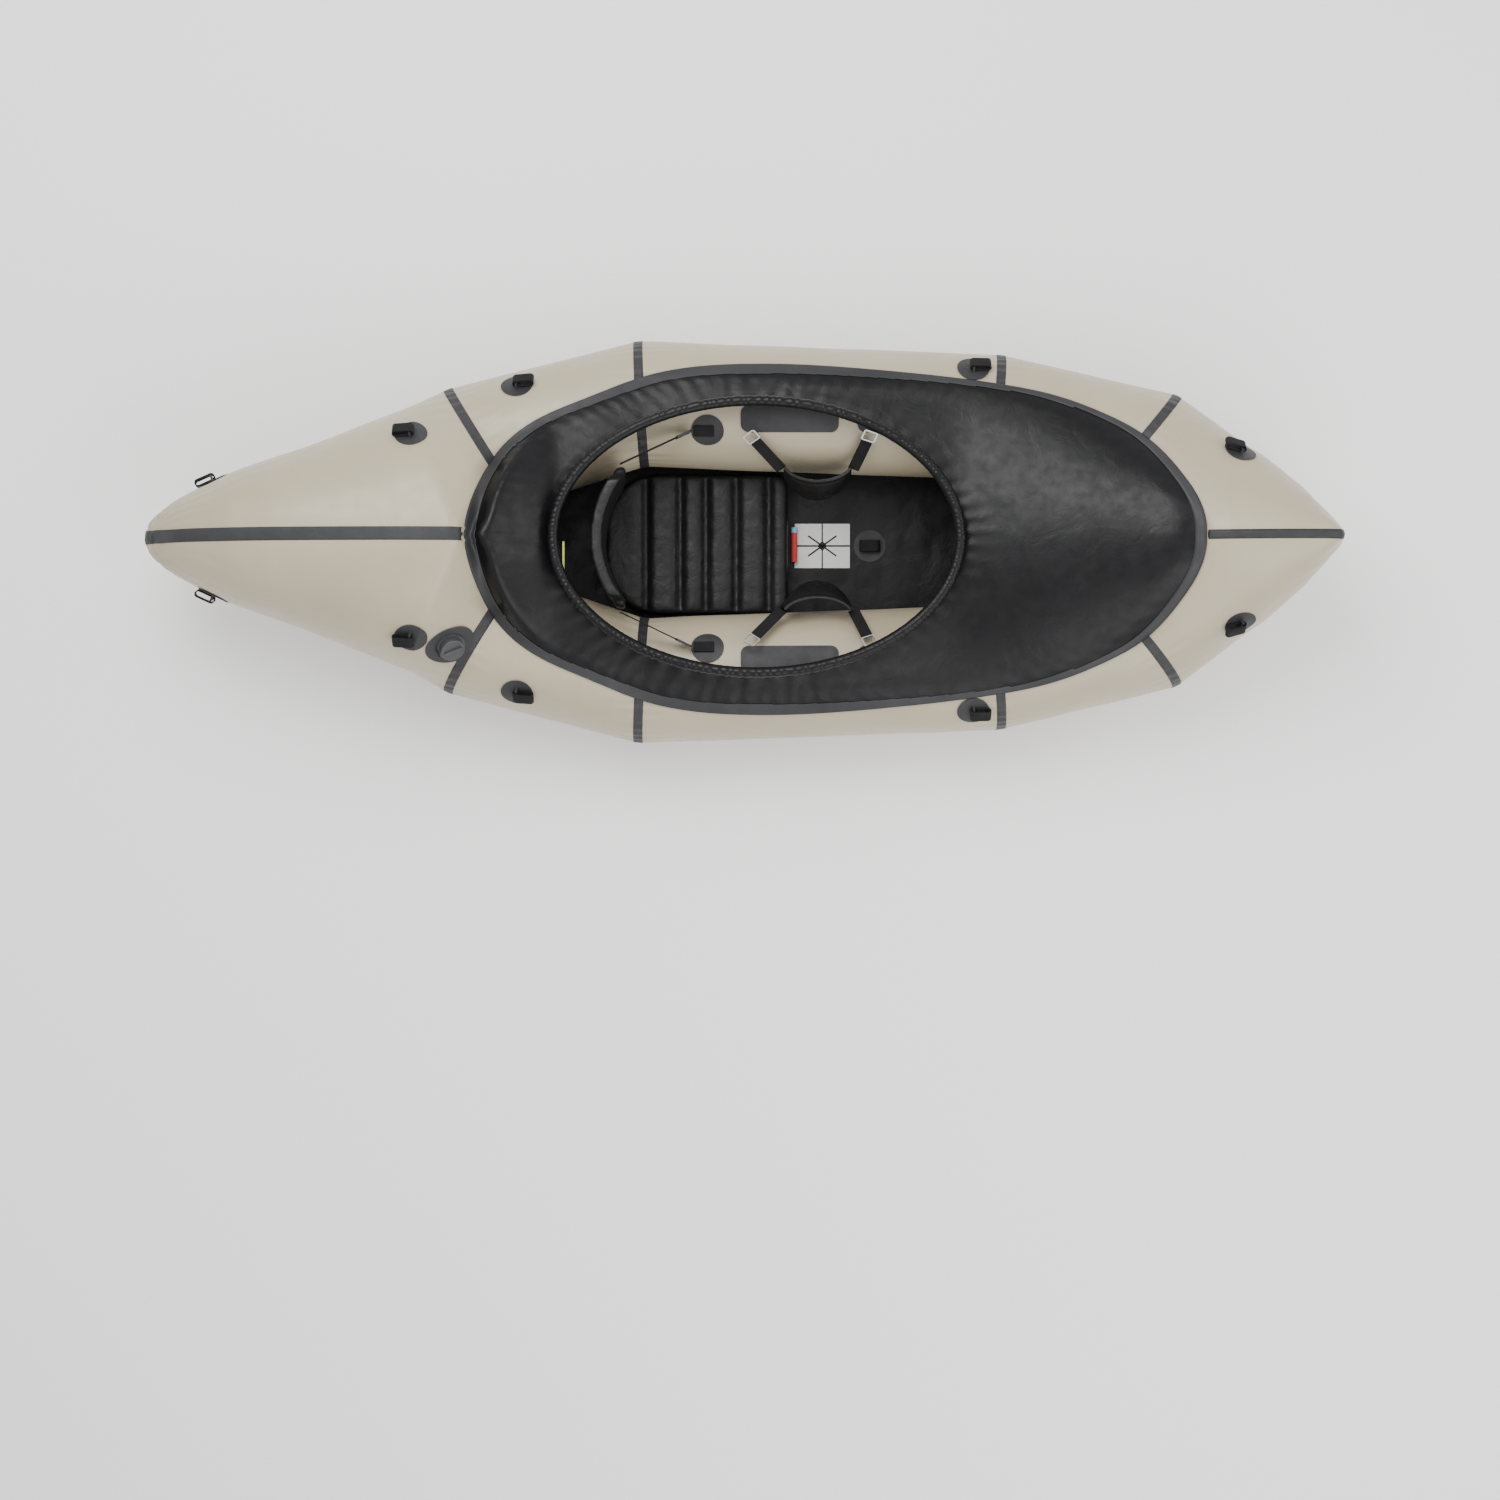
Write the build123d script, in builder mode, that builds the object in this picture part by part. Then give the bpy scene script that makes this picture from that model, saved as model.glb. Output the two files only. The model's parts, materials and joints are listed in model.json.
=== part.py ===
from build123d import *
import math
import os

# Inflatable kayak: two air-filled side tubes that meet in a long stern cone and a short
# upturned bow, a welded floor, a spray deck with a coaming round the cockpit, a seat, a
# backrest, thigh straps, ten tie-downs, a valve and a slide-in fin.
# Frame: X runs to the bow, Y to port, Z up. X = 0 is half the length, Z = 0 the floor's underside.

os.makedirs("parts", exist_ok=True)

# ---------------------------------------------------------------- driving dimensions (mm)
half_length = 1274.0        # tip of the stern and front of the bow, from the middle
stern_reach = 719.0         # from the stern's tip forward to the middle of its quarter seam
tube_radius = 138.0         # side tubes, blown up
stern_tube_radius = 150.0   # the tube where it runs into the stern
half_beam = 439.0           # outside of the tube at the rear seam
front_half_beam = 410.0     # outside of the tube at the front seam
wall = 2.0                  # coated fabric of the tubes
sheet = 2.0                 # floor and deck sheet
skin = 1.2                  # tapes and patches
air = 0.4                   # clearance between soft pieces on different bodies
floor_gap = 0.3             # the tubes stand this far above the floor's top

rear_seam_x = -216.0
front_seam_x = 551.0
tape_width = 20.0
centre_tape_width = 28.0
tube_z = sheet + floor_gap + tube_radius

coaming_x = 35.0            # middle of the cockpit
coaming_half_length = 432.0
coaming_half_width = 288.0
coaming_z = 353.0
coaming_pitch = 2.0         # degrees, the rear stands higher
sleeve_radius = 12.5
hoop_radius = 6.0
riser_wall = 2.0

seat_length = 404.0
seat_width = 310.0
seat_height = 78.0
seat_rear_x = -301.0
backrest_thickness = 24.0
backrest_top = 348.0
backrest_half_width = 168.0

patch_radius = 35.0
loop_width = 25.0
loop_reach = 46.0
loop_gap = 11.0
loop_wall = 2.5
keeper_radius = 2.5
strap_width = 25.0
strap_thickness = 2.5


# ---------------------------------------------------------------- the tubes' sections
def upright(x, y, z, turn):
    """An upright plane through a point. Its local X points outboard and its local Y up."""
    a = math.radians(turn)
    outboard = (-math.sin(a), math.cos(a), 0)
    forward = (math.cos(a), math.sin(a), 0)
    return Plane(origin=(x, y, z), x_dir=outboard, z_dir=forward)


# Seam circles: x, y, z of the middle, radius and turn of the plane about Z.
stern_seam = (-half_length + stern_reach, 203, 180, stern_tube_radius, 32)
rear_seam = (rear_seam_x, half_beam - tube_radius, tube_z, tube_radius, 3)
front_seam = (front_seam_x, front_half_beam - tube_radius, tube_z, tube_radius, -6)
bow_seam = (half_length - 418, 211, 180, tube_radius, -40)

# Closed ends: x on the centre plane, turn, half-width, lowest and highest point.
stern_ends = [
    (-half_length, 0, 11, 264, 300),
    (-half_length + 12, 0, 38, 244, 322),
    (-half_length + 40, 0, 63, 226, 346),
    (-half_length + 75, 1, 85, 205, 376),
    (-half_length + 121, 2, 108, 180, 406),
    (-half_length + 206, 4, 145, 143, 439),
    (-half_length + 290, 7, 172, 113, 456),
    (-half_length + 374, 10, 198, 88, 466),
    (-half_length + 459, 13, 227, 64, 473),
    (-half_length + 544, 17, 258, 44, 476),
    (-half_length + 620, 20, 286, 34, 474),
    (-half_length + 691, 24, 312, 30, 468),
]
bow_ends = [
    (half_length - 293, -28, 228, 45, 437),
    (half_length - 214, -18, 190, 64, 450),
    (half_length - 144, -9, 150, 98, 459),
    (half_length - 84, -3, 108, 144, 461),
    (half_length - 40, 0, 62, 196, 459),
    (half_length - 14, 0, 30, 243, 450),
    (half_length, 0, 11, 286, 432),
]


def end_sections(ends, grow):
    """Half-ovals that stand on the centre plane, one for each entry of an end's list."""
    faces = []
    for x, turn, width, low, high in ends:
        half_height = (high - low) / 2 + grow
        with BuildSketch(upright(x, 0, (low + high) / 2, turn)) as section:
            with BuildLine():
                EllipticalCenterArc((0, 0), width + grow, half_height, -90, arc_size=180)
                Line((0, half_height), (0, -half_height))
            make_face()
        faces.append(section.sketch.face())
    return faces


def seam_section(seam, grow):
    """A seam's circle as an outboard and an inboard half, to match the half-ovals."""
    x, y, z, radius, turn = seam
    r = radius + grow
    with BuildSketch(upright(x, y, z, turn)) as section:
        with BuildLine():
            ThreePointArc((0, -r), (r, 0), (0, r))
            ThreePointArc((0, r), (-r, 0), (0, -r))
        make_face()
    return section.sketch.face()


def tube(seam_a, seam_b, grow):
    """The solid of a straight tube panel between two seams."""
    with BuildPart() as body:
        loft([seam_section(seam_a, grow), seam_section(seam_b, grow)], ruled=True)
    return body.part


def closed_end(ends, seam, seam_place, grow):
    """The solid of a stern or bow half, from its tip to the seam of its quarter."""
    faces = end_sections(ends, grow)
    faces.insert(seam_place, seam_section(seam, grow))
    with BuildPart() as body:
        loft(faces, ruled=True)
    return body.part


def outline_solid(name, grow):
    """A port panel as a full solid, grown outwards by a thickness."""
    if name == "stern":
        return closed_end(stern_ends, stern_seam, len(stern_ends), grow)
    if name == "rear_quarter":
        return tube(stern_seam, rear_seam, grow)
    if name == "side_tube":
        return tube(rear_seam, front_seam, grow)
    if name == "front_quarter":
        return tube(front_seam, bow_seam, grow)
    return closed_end(bow_ends, bow_seam, 0, grow)


panel_names = ["stern", "rear_quarter", "side_tube", "front_quarter", "bow"]
outer = {name: outline_solid(name, 0) for name in panel_names}
inner = {name: outline_solid(name, -wall) for name in panel_names}
grown = {name: outline_solid(name, skin) for name in panel_names}


def save(part, label):
    """Label a finished piece and write it."""
    part.label = label
    export_step(part, f"parts/{label}.step")


def both_sides(part):
    """A port piece and its starboard twin."""
    with BuildPart() as pair:
        add(part)
        mirror(about=Plane.XZ)
    return pair.part


for name in panel_names:
    with BuildPart() as panel:
        add(outer[name])
        add(inner[name], mode=Mode.SUBTRACT)
    save(panel.part, f"{name}_port")
    with BuildPart() as twin:
        add(panel.part)
        mirror(about=Plane.XZ, mode=Mode.REPLACE)
    save(twin.part, f"{name}_starboard")

# ---------------------------------------------------------------- skins on the port hull
skins = {}
for name in panel_names:
    with BuildPart() as coat:
        add(grown[name])
        add(outer[name], mode=Mode.SUBTRACT)
    skins[name] = coat.part

seams = {
    "stern_seam_tapes": (stern_seam, "stern", "rear_quarter"),
    "rear_seam_tapes": (rear_seam, "rear_quarter", "side_tube"),
    "front_seam_tapes": (front_seam, "side_tube", "front_quarter"),
    "bow_seam_tapes": (bow_seam, "front_quarter", "bow"),
}
seam_tapes = {}
for label, (seam, behind, ahead) in seams.items():
    x, y, z, radius, turn = seam
    with BuildPart() as tape:
        add(skins[behind])
        add(skins[ahead])
        with BuildSketch(upright(x, y, z, turn)):
            Circle(radius + 3 * skin)
        extrude(amount=tape_width / 2, both=True, mode=Mode.INTERSECT)
    seam_tapes[label] = both_sides(tape.part)


seam_slit = 0.15            # half the gap between the two edges of a centre seam's tape
tip_gap = 3.0               # the tape stops this far from the plate on the tip


def end_tape(name, tip_section, x_low, x_high, z_low, forward):
    """The tape over the centre seam of an end, with a plate that closes its tip."""
    x, turn, width, low, high = tip_section
    with BuildPart() as tape:
        add(skins[name])
        with BuildSketch(Plane.XY.offset(z_low)):
            with Locations(((x_low + x_high) / 2, (centre_tape_width / 2 + seam_slit) / 2)):
                Rectangle(x_high - x_low, centre_tape_width / 2 - seam_slit)
        extrude(amount=2 * half_beam, mode=Mode.INTERSECT)
        mirror(about=Plane.XZ)
        with BuildSketch(upright(x, 0, (low + high) / 2, 0)):
            Ellipse(width + skin, (high - low) / 2 + skin)
        extrude(amount=skin * forward)
    return tape.part


stern_tape = end_tape("stern", stern_ends[0], -half_length + tip_gap, stern_ends[-1][0] - 4, 284, -1)
bow_tape = end_tape("bow", bow_ends[-1], bow_ends[0][0] + 4, half_length - tip_gap, sheet, 1)
save(stern_tape, "stern_centre_tape")
save(bow_tape, "bow_centre_tape")


# ---------------------------------------------------------------- floor
def hull_cut():
    """Take both sides of the blown-up hull away from the part that is being built."""
    for name in panel_names:
        add(outer[name], mode=Mode.SUBTRACT)
        add(mirrored_outer[name], mode=Mode.SUBTRACT)


mirrored_outer = {name: mirror(outer[name], about=Plane.XZ) for name in panel_names}

floor_line = [
    (stern_ends[-1][0] - 2, stern_ends[-1][3]),
    (rear_seam_x, sheet),
    (front_seam_x, sheet),
    (bow_seam[0], bow_seam[2] - tube_radius - 1),
    (bow_ends[0][0] - 6, bow_ends[0][3] - 1),
]
floor_outline = [
    (stern_ends[-1][0] - 2, 60),
    (stern_seam[0], stern_seam[1]),
    (rear_seam_x, rear_seam[1] + 8),
    (front_seam_x, front_seam[1] + 8),
    (bow_seam[0], bow_seam[1]),
    (bow_ends[0][0] - 6, 60),
]
with BuildPart() as floor:
    with BuildSketch(Plane.XZ):
        with BuildLine():
            Polyline(*floor_line, *[(x, z - sheet) for x, z in reversed(floor_line)], close=True)
        make_face()
    extrude(amount=half_beam, both=True)
    with BuildSketch(Plane.XY.offset(-half_beam)):
        with BuildLine():
            Polyline(*floor_outline, *[(x, -y) for x, y in reversed(floor_outline)], close=True)
        make_face()
    extrude(amount=2 * half_beam, mode=Mode.INTERSECT)
    hull_cut()
save(floor.part, "floor")


# ---------------------------------------------------------------- deck
# Deck stations: x, crown height on the centre plane, then a point of the deck's edge (y, z).
deck_stations = [
    (stern_ends[-1][0] - 30, 473, 150, 440),
    (-520, 426, 178, 390),
    (-456, 380, 239, 333),
    (-400, 346, 268, 308),
    (-330, 334, 300, 300),
    (-205, 322, 349, 273),
    (0, 327, 377, 258),
    (295, 322, 364, 257),
    (470, 315, 346, 263),
    (546, 334, 334, 266),
    (678, 362, 305, 284),
    (860, 404, 217, 324),
    (934, 428, 132, 397),
    (bow_ends[0][0] + 14, 442, 60, 437),
]
deck_outline = [
    (stern_ends[-1][0] + 2, 0),
    (-562, 92),
    (-520, 178),
    (-456, 239),
    (-330, 300),
    (-205, 349),
    (0, 377),
    (150, 375),
    (295, 364),
    (546, 334),
    (678, 305),
    (780, 264),
    (860, 217),
    (934, 132),
    (968, 70),
    (bow_ends[0][0] - 2, 0),
]
deck_rim_width = 24.0
deck_skirt = 1.25           # the arcs run on past the deck's edge by this share


def deck_dome(lift):
    """Everything under the deck's outer face, as a solid that reaches down past the tubes."""
    faces = []
    for x, crown, y, z in deck_stations:
        radius = (y * y + (crown - z) ** 2) / (2 * (crown - z))
        reach = min(deck_skirt * y, 0.9 * radius)
        drop = radius - math.sqrt(radius * radius - reach * reach)
        top = crown + lift
        with BuildSketch(upright(x, 0, 0, 0)) as section:
            with BuildLine():
                ThreePointArc((-reach, top - drop), (0, top), (reach, top - drop))
                Polyline((reach, top - drop), (reach, -100), (-reach, -100), (-reach, top - drop))
            make_face()
        faces.append(section.sketch.face())
    with BuildPart() as dome:
        loft(faces, ruled=True)
    return dome.part


def outline_prism(inset):
    """The deck's plan outline as a tall prism, drawn in by an inset."""
    middle = (deck_outline[0][0] + deck_outline[-1][0]) / 2
    shrink = 1 - 1.6 * inset / (deck_outline[-1][0] - middle)
    points = [(middle + (x - middle) * shrink, max(y - inset, 0)) for x, y in deck_outline]
    with BuildPart() as prism:
        with BuildSketch(Plane.XY):
            with BuildLine():
                edge = Spline(*points)
                mirror(edge, about=Plane.XZ)
            make_face()
        extrude(amount=3 * half_beam)
    return prism.part


coaming_plane = Plane(
    origin=(coaming_x, 0, coaming_z),
    x_dir=(math.cos(math.radians(coaming_pitch)), 0, -math.sin(math.radians(coaming_pitch))),
    z_dir=(math.sin(math.radians(coaming_pitch)), 0, math.cos(math.radians(coaming_pitch))),
)


def cockpit_prism(grow):
    """The oval of the cockpit, run right through the deck."""
    with BuildPart() as oval:
        with BuildSketch(coaming_plane):
            Ellipse(coaming_half_length + grow, coaming_half_width + grow)
        extrude(amount=half_beam, both=True)
    return oval.part


dome = deck_dome(0)
under_dome = deck_dome(-sheet)
with BuildPart() as deck:
    add(dome)
    add(under_dome, mode=Mode.SUBTRACT)
    add(outline_prism(0), mode=Mode.INTERSECT)
    add(cockpit_prism(-riser_wall / 2), mode=Mode.SUBTRACT)
    hull_cut()
save(deck.part, "deck")

with BuildPart() as deck_rim:
    add(deck_dome(skin))
    add(dome, mode=Mode.SUBTRACT)
    add(outline_prism(0), mode=Mode.INTERSECT)
    add(outline_prism(deck_rim_width), mode=Mode.SUBTRACT)
    hull_cut()
save(deck_rim.part, "deck_rim_tape")


# ---------------------------------------------------------------- coaming
def coaming_ring(radius):
    """A round bar bent into the coaming's oval."""
    path = Edge.make_ellipse(coaming_half_length, coaming_half_width, plane=coaming_plane)
    with BuildPart() as ring:
        with BuildSketch(Plane(origin=path @ 0, z_dir=path % 0)):
            Circle(radius)
        sweep(path=path)
    return ring.part


hoop = coaming_ring(hoop_radius)
sleeve_solid = coaming_ring(sleeve_radius)
with BuildPart() as sleeve:
    add(sleeve_solid)
    add(coaming_ring(hoop_radius + air), mode=Mode.SUBTRACT)
save(sleeve.part, "coaming_sleeve")
save(hoop, "coaming_hoop")

with BuildPart() as riser:
    with BuildSketch(coaming_plane):
        Ellipse(coaming_half_length + riser_wall / 2, coaming_half_width + riser_wall / 2)
        Ellipse(
            coaming_half_length - riser_wall / 2,
            coaming_half_width - riser_wall / 2,
            mode=Mode.SUBTRACT,
        )
    extrude(amount=-half_beam / 2)
    add(dome, mode=Mode.SUBTRACT)
    add(sleeve_solid, mode=Mode.SUBTRACT)
    # Only the wall itself stays, not the scrap inside the sleeve.
    keep = riser.part.solids().sort_by(SortBy.VOLUME)[-1]
save(Part() + keep, "coaming_riser")

# ---------------------------------------------------------------- places on the hull
def touch(name, point, elevation):
    """Where a line that comes down on a port panel at an angle meets it: point and normal."""
    a = math.radians(elevation)
    arrive = Vector(0, -math.cos(a), -math.sin(a))
    start = Vector(*point) - 2 * half_beam * arrive
    hits = outer[name].find_intersection_points(Axis(start, arrive))
    place, normal = min(hits, key=lambda hit: (hit[0] - start).length)
    if normal.dot(arrive) > 0:
        normal = -normal
    return place, normal.normalized()


def frame_at(place, normal, heading):
    """A plane on the hull: Z outwards, X along a heading laid flat on the surface."""
    along = Vector(*heading)
    along = (along - normal * along.dot(normal)).normalized()
    return Plane(origin=place, x_dir=along, z_dir=normal)


def starboard(part):
    """The starboard twin of a port piece."""
    with BuildPart() as twin:
        add(part)
        mirror(about=Plane.XZ, mode=Mode.REPLACE)
    return twin.part


# ---------------------------------------------------------------- tie-downs
# Name, panel, a point near the patch, the angle it is seen from, and where the loop points.
tie_downs = [
    ("tail", "stern", (-half_length + 147, 110, 280), 0, (-1, 0, 0.05)),
    ("stern", "stern", (-half_length + 579, 222, 400), 62, (-1, 0, 0)),
    ("rear", "rear_quarter", (stern_seam[0] + 76, 340, 276), 40, (1, 0, 0)),
    ("front", "side_tube", (front_seam_x - 51, 375, 245), 42, (1, 0, 0)),
    ("bow", "bow", (half_length - 213, 190, 340), 52, (-1, 0, 0)),
]
keeper_height = skin + loop_gap / 2 + loop_wall + 2 * air
loop_run = loop_reach - loop_gap - 2 * loop_wall
patches = []
for name, panel_name, point, elevation, heading in tie_downs:
    place, normal = touch(panel_name, point, elevation)
    at = frame_at(place, normal, heading)
    with BuildPart() as patch:
        add(skins[panel_name])
        with BuildSketch(at.offset(-patch_radius)):
            Circle(patch_radius)
        extrude(amount=2 * patch_radius, mode=Mode.INTERSECT)
        bar = Plane(origin=at.from_local_coords((0, 0, keeper_height)), x_dir=at.x_dir, z_dir=at.y_dir)
        bar_half = loop_width / 2 + 2 * air + 3
        with BuildSketch(bar):
            Circle(keeper_radius)
        extrude(amount=bar_half, both=True)
        for side in (-1, 1):
            with BuildSketch(bar.offset(side * (bar_half - 1.5))):
                with Locations((0, keeper_height / 2)):
                    Rectangle(2 * keeper_radius, keeper_height + 6)
            extrude(amount=1.5, both=True)
        add(outer[panel_name], mode=Mode.SUBTRACT)
    patches.append(patch.part)
    with BuildPart() as loop:
        with BuildSketch(bar):
            with Locations((loop_run / 2, 0)):
                SlotCenterToCenter(loop_run, loop_gap + 2 * loop_wall)
                SlotCenterToCenter(loop_run, loop_gap, mode=Mode.SUBTRACT)
        extrude(amount=loop_width / 2, both=True)
    save(loop.part, f"{name}_loop_port")
    save(starboard(loop.part), f"{name}_loop_starboard")
    print("PIVOT", name, tuple(bar.origin), tuple(-at.y_dir), tuple(at.x_dir), tuple(at.z_dir))
with BuildPart() as tie_down_patches:
    for patch in patches:
        add(patch)
    mirror(about=Plane.XZ)
save(tie_down_patches.part, "tie_down_patches")

# ---------------------------------------------------------------- valve, starboard stern
valve_patch_length = 110.0
valve_patch_width = 90.0
valve_flange_radius = 31.0
valve_flange = 3.0
valve_body_radius = 24.0
valve_body_height = 12.0
valve_bore = 17.0
valve_cap_radius = 26.0
valve_cap_height = 6.0
insert_radius = valve_bore - air
place, normal = touch("stern", (-half_length + 660, 242, 372), 64)
valve_at = frame_at(place, normal, (-1, 0.25, 0))
with BuildPart() as valve_patch:
    add(skins["stern"])
    with BuildSketch(valve_at.offset(-patch_radius)):
        Ellipse(valve_patch_length / 2, valve_patch_width / 2)
    extrude(amount=2 * patch_radius, mode=Mode.INTERSECT)
    with BuildSketch(valve_at.offset(-patch_radius)):
        Circle(valve_flange_radius + air)
    extrude(amount=2 * patch_radius, mode=Mode.SUBTRACT)
    add(patches[1], mode=Mode.SUBTRACT)
save(starboard(valve_patch.part), "valve_patch")
with BuildPart() as valve_body:
    with BuildSketch(valve_at.offset(-valve_body_height)):
        Circle(valve_flange_radius)
    extrude(amount=valve_body_height + skin + valve_flange)
    with BuildSketch(valve_at):
        Circle(valve_body_radius)
    extrude(amount=valve_body_height)
    add(outer["stern"], mode=Mode.SUBTRACT)
    with BuildSketch(valve_at.offset(-valve_body_height)):
        Circle(valve_bore)
    extrude(amount=3 * valve_body_height, mode=Mode.SUBTRACT)
save(starboard(valve_body.part), "valve_body")
with BuildPart() as valve_insert:
    with BuildSketch(valve_at.offset(valve_body_height / 3)):
        Circle(insert_radius)
    extrude(amount=valve_body_height / 2)
    add(outer["stern"], mode=Mode.SUBTRACT)
save(starboard(valve_insert.part), "valve_insert")
cap_seat = valve_at.offset(valve_body_height + air)
with BuildPart() as valve_cap:
    with BuildSketch(cap_seat):
        Circle(valve_cap_radius)
    extrude(amount=valve_cap_height)
    fillet(valve_cap.edges().group_by(SortBy.LENGTH)[-1], 1.5)
    with BuildSketch(cap_seat.offset(valve_cap_height)):
        SlotOverall(1.5 * valve_cap_radius, 7)
    extrude(amount=4)
save(starboard(valve_cap.part), "valve_cap")
hinge_reach = valve_cap_radius + 4
with BuildPart() as valve_tether:
    side_view = Plane(origin=valve_at.origin, x_dir=valve_at.x_dir, z_dir=-valve_at.y_dir)
    with BuildSketch(side_view):
        with Locations(((valve_flange_radius + hinge_reach) / 2, valve_body_height / 2)):
            Rectangle(3, valve_body_height + 2 * skin)
    extrude(amount=6, both=True)
    add(outer["stern"], mode=Mode.SUBTRACT)
    add(valve_patch.part, mode=Mode.SUBTRACT)
    add(valve_body.part, mode=Mode.SUBTRACT)
save(starboard(valve_tether.part), "valve_tether")
hinge_point = valve_at.from_local_coords((hinge_reach, 0, valve_body_height + air))
print("CAP", tuple(hinge_point), tuple(valve_at.y_dir))

# ---------------------------------------------------------------- fin under the stern
fin_base_length = 150.0
fin_base_width = 38.0
fin_base_height = 13.0
fin_track_width = 16.0
fin_track_height = 5.0
fin_thickness = 6.0
fin_depth = 52.0
fin_length = 118.0
fin_x = -half_length + 374
fin_slope = 17.0
a = math.radians(fin_slope)
fin_hits = outer["stern"].find_intersection_points(Axis((fin_x, 2, -100), (0, 0, 1)))
fin_z = min(hit[0].Z for hit in fin_hits)
# Local X runs aft along the hull's underside, local Z down and away from it.
fin_at = Plane(
    origin=(fin_x, 0, fin_z),
    x_dir=(-math.cos(a), 0, math.sin(a)),
    z_dir=(-math.sin(a), 0, -math.cos(a)),
)
track_level = fin_base_height - 4 - fin_track_height
with BuildPart() as fin_base:
    with BuildSketch(fin_at.offset(-fin_base_height)):
        RectangleRounded(fin_base_length, fin_base_width, 12)
    extrude(amount=2 * fin_base_height)
    add(outer["stern"], mode=Mode.SUBTRACT)
    add(mirrored_outer["stern"], mode=Mode.SUBTRACT)
    with BuildSketch(fin_at.offset(track_level)):
        with Locations((10, 0)):
            Rectangle(fin_base_length, fin_track_width + 2 * air)
    extrude(amount=fin_track_height + 2 * air, mode=Mode.SUBTRACT)
    with BuildSketch(fin_at.offset(track_level)):
        with Locations((10, 0)):
            Rectangle(fin_base_length, fin_thickness + 2 * air)
    extrude(amount=fin_base_height, mode=Mode.SUBTRACT)
save(fin_base.part, "fin_base")
with BuildPart() as fin:
    with BuildSketch(fin_at.offset(track_level + air)):
        with Locations((4, 0)):
            Rectangle(fin_length, fin_track_width)
    extrude(amount=fin_track_height)
    with BuildSketch(Plane(origin=fin_at.origin, x_dir=fin_at.x_dir, z_dir=(0, -1, 0))):
        with BuildLine():
            root = track_level + fin_track_height
            low = fin_base_height + fin_depth
            Polyline((-fin_length / 2 + 4, root), (fin_length / 2 + 4, root), (fin_length / 2 + 14, low - 12))
            ThreePointArc(
                (fin_length / 2 + 14, low - 12),
                (fin_length / 2 + 6, low - 3),
                (fin_length / 2 - 6, low),
            )
            ThreePointArc(
                (fin_length / 2 - 6, low),
                (-fin_length / 8, low - 18),
                (-fin_length / 2 + 4, root),
            )
        make_face()
    extrude(amount=fin_thickness / 2, both=True)
save(fin.part, "fin")
print("FIN", tuple(fin_at.x_dir), tuple(fin_at.origin), fin_z)

# ---------------------------------------------------------------- seat and backrest
seat_rear_corner = 120.0
seat_front_corner = 30.0
seat_z = sheet + air
with BuildPart() as seat:
    with BuildSketch(Plane.XY.offset(seat_z)):
        with Locations((seat_rear_x + seat_length / 2, 0)):
            Rectangle(seat_length, seat_width)
        rear = vertices().group_by(Axis.X)[0]
        fillet(rear, seat_rear_corner)
        front = vertices().group_by(Axis.X)[-1]
        fillet(front, seat_front_corner)
    extrude(amount=seat_height)
    fillet(seat.edges().group_by(Axis.Z)[-1], 12)
    add(floor.part, mode=Mode.SUBTRACT)
save(seat.part, "seat_cushion")

backrest_sag = 73.0
backrest_foot = 118.0       # half-width at the bottom, between the tubes
backrest_waist = 134.0
backrest_shoulder = 150.0
backrest_rear_x = -318.0
backrest_front_x = backrest_rear_x + backrest_sag
backrest_z = seat_z + seat_height + 6
bend = (backrest_half_width ** 2 + backrest_sag ** 2) / (2 * backrest_sag)
with BuildPart() as backrest:
    with BuildSketch(Plane.XY.offset(backrest_z)):
        with Locations((backrest_rear_x + bend, 0)):
            Circle(bend)
            Circle(bend - backrest_thickness, mode=Mode.SUBTRACT)
        with Locations((backrest_rear_x, 0)):
            Rectangle(2 * backrest_sag, 2 * backrest_half_width, mode=Mode.INTERSECT)
    extrude(amount=backrest_top - backrest_z)
    with BuildSketch(Plane.YZ.offset(backrest_rear_x)):
        with BuildLine():
            side = Polyline(
                (0, backrest_z),
                (backrest_foot, backrest_z),
                (backrest_waist, backrest_z + 110),
                (backrest_shoulder, backrest_z + 170),
                (backrest_shoulder, backrest_top - 30),
                (backrest_shoulder - 30, backrest_top),
                (0, backrest_top),
            )
            mirror(side, about=Plane.YZ)
        make_face()
    extrude(amount=4 * backrest_sag, mode=Mode.INTERSECT)
save(backrest.part, "backrest")
backrest_pivot = (backrest_front_x + 10, 0, backrest_z)
print("BACKREST", backrest_pivot, backrest.part.bounding_box())


# ---------------------------------------------------------------- straps
def strap_between(start, end, width, thickness, wide_way):
    """A straight run of webbing from one point to another, its width along a direction."""
    a = Vector(*start)
    b = Vector(*end)
    run = (b - a).normalized()
    wide = Vector(*wide_way)
    wide = (wide - run * wide.dot(run)).normalized()
    with BuildPart() as strap:
        with BuildSketch(Plane(origin=a, x_dir=wide, z_dir=run)):
            Rectangle(width, thickness)
        extrude(amount=(b - a).length)
    return strap.part


def surface_patch(name, at, length, width, corner):
    """A patch on a panel, a rounded rectangle centred on a plane on its surface."""
    with BuildPart() as patch:
        add(skins[name])
        with BuildSketch(at.offset(-patch_radius)):
            RectangleRounded(length, width, corner)
        extrude(amount=2 * patch_radius, mode=Mode.INTERSECT)
    return patch.part


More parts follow.
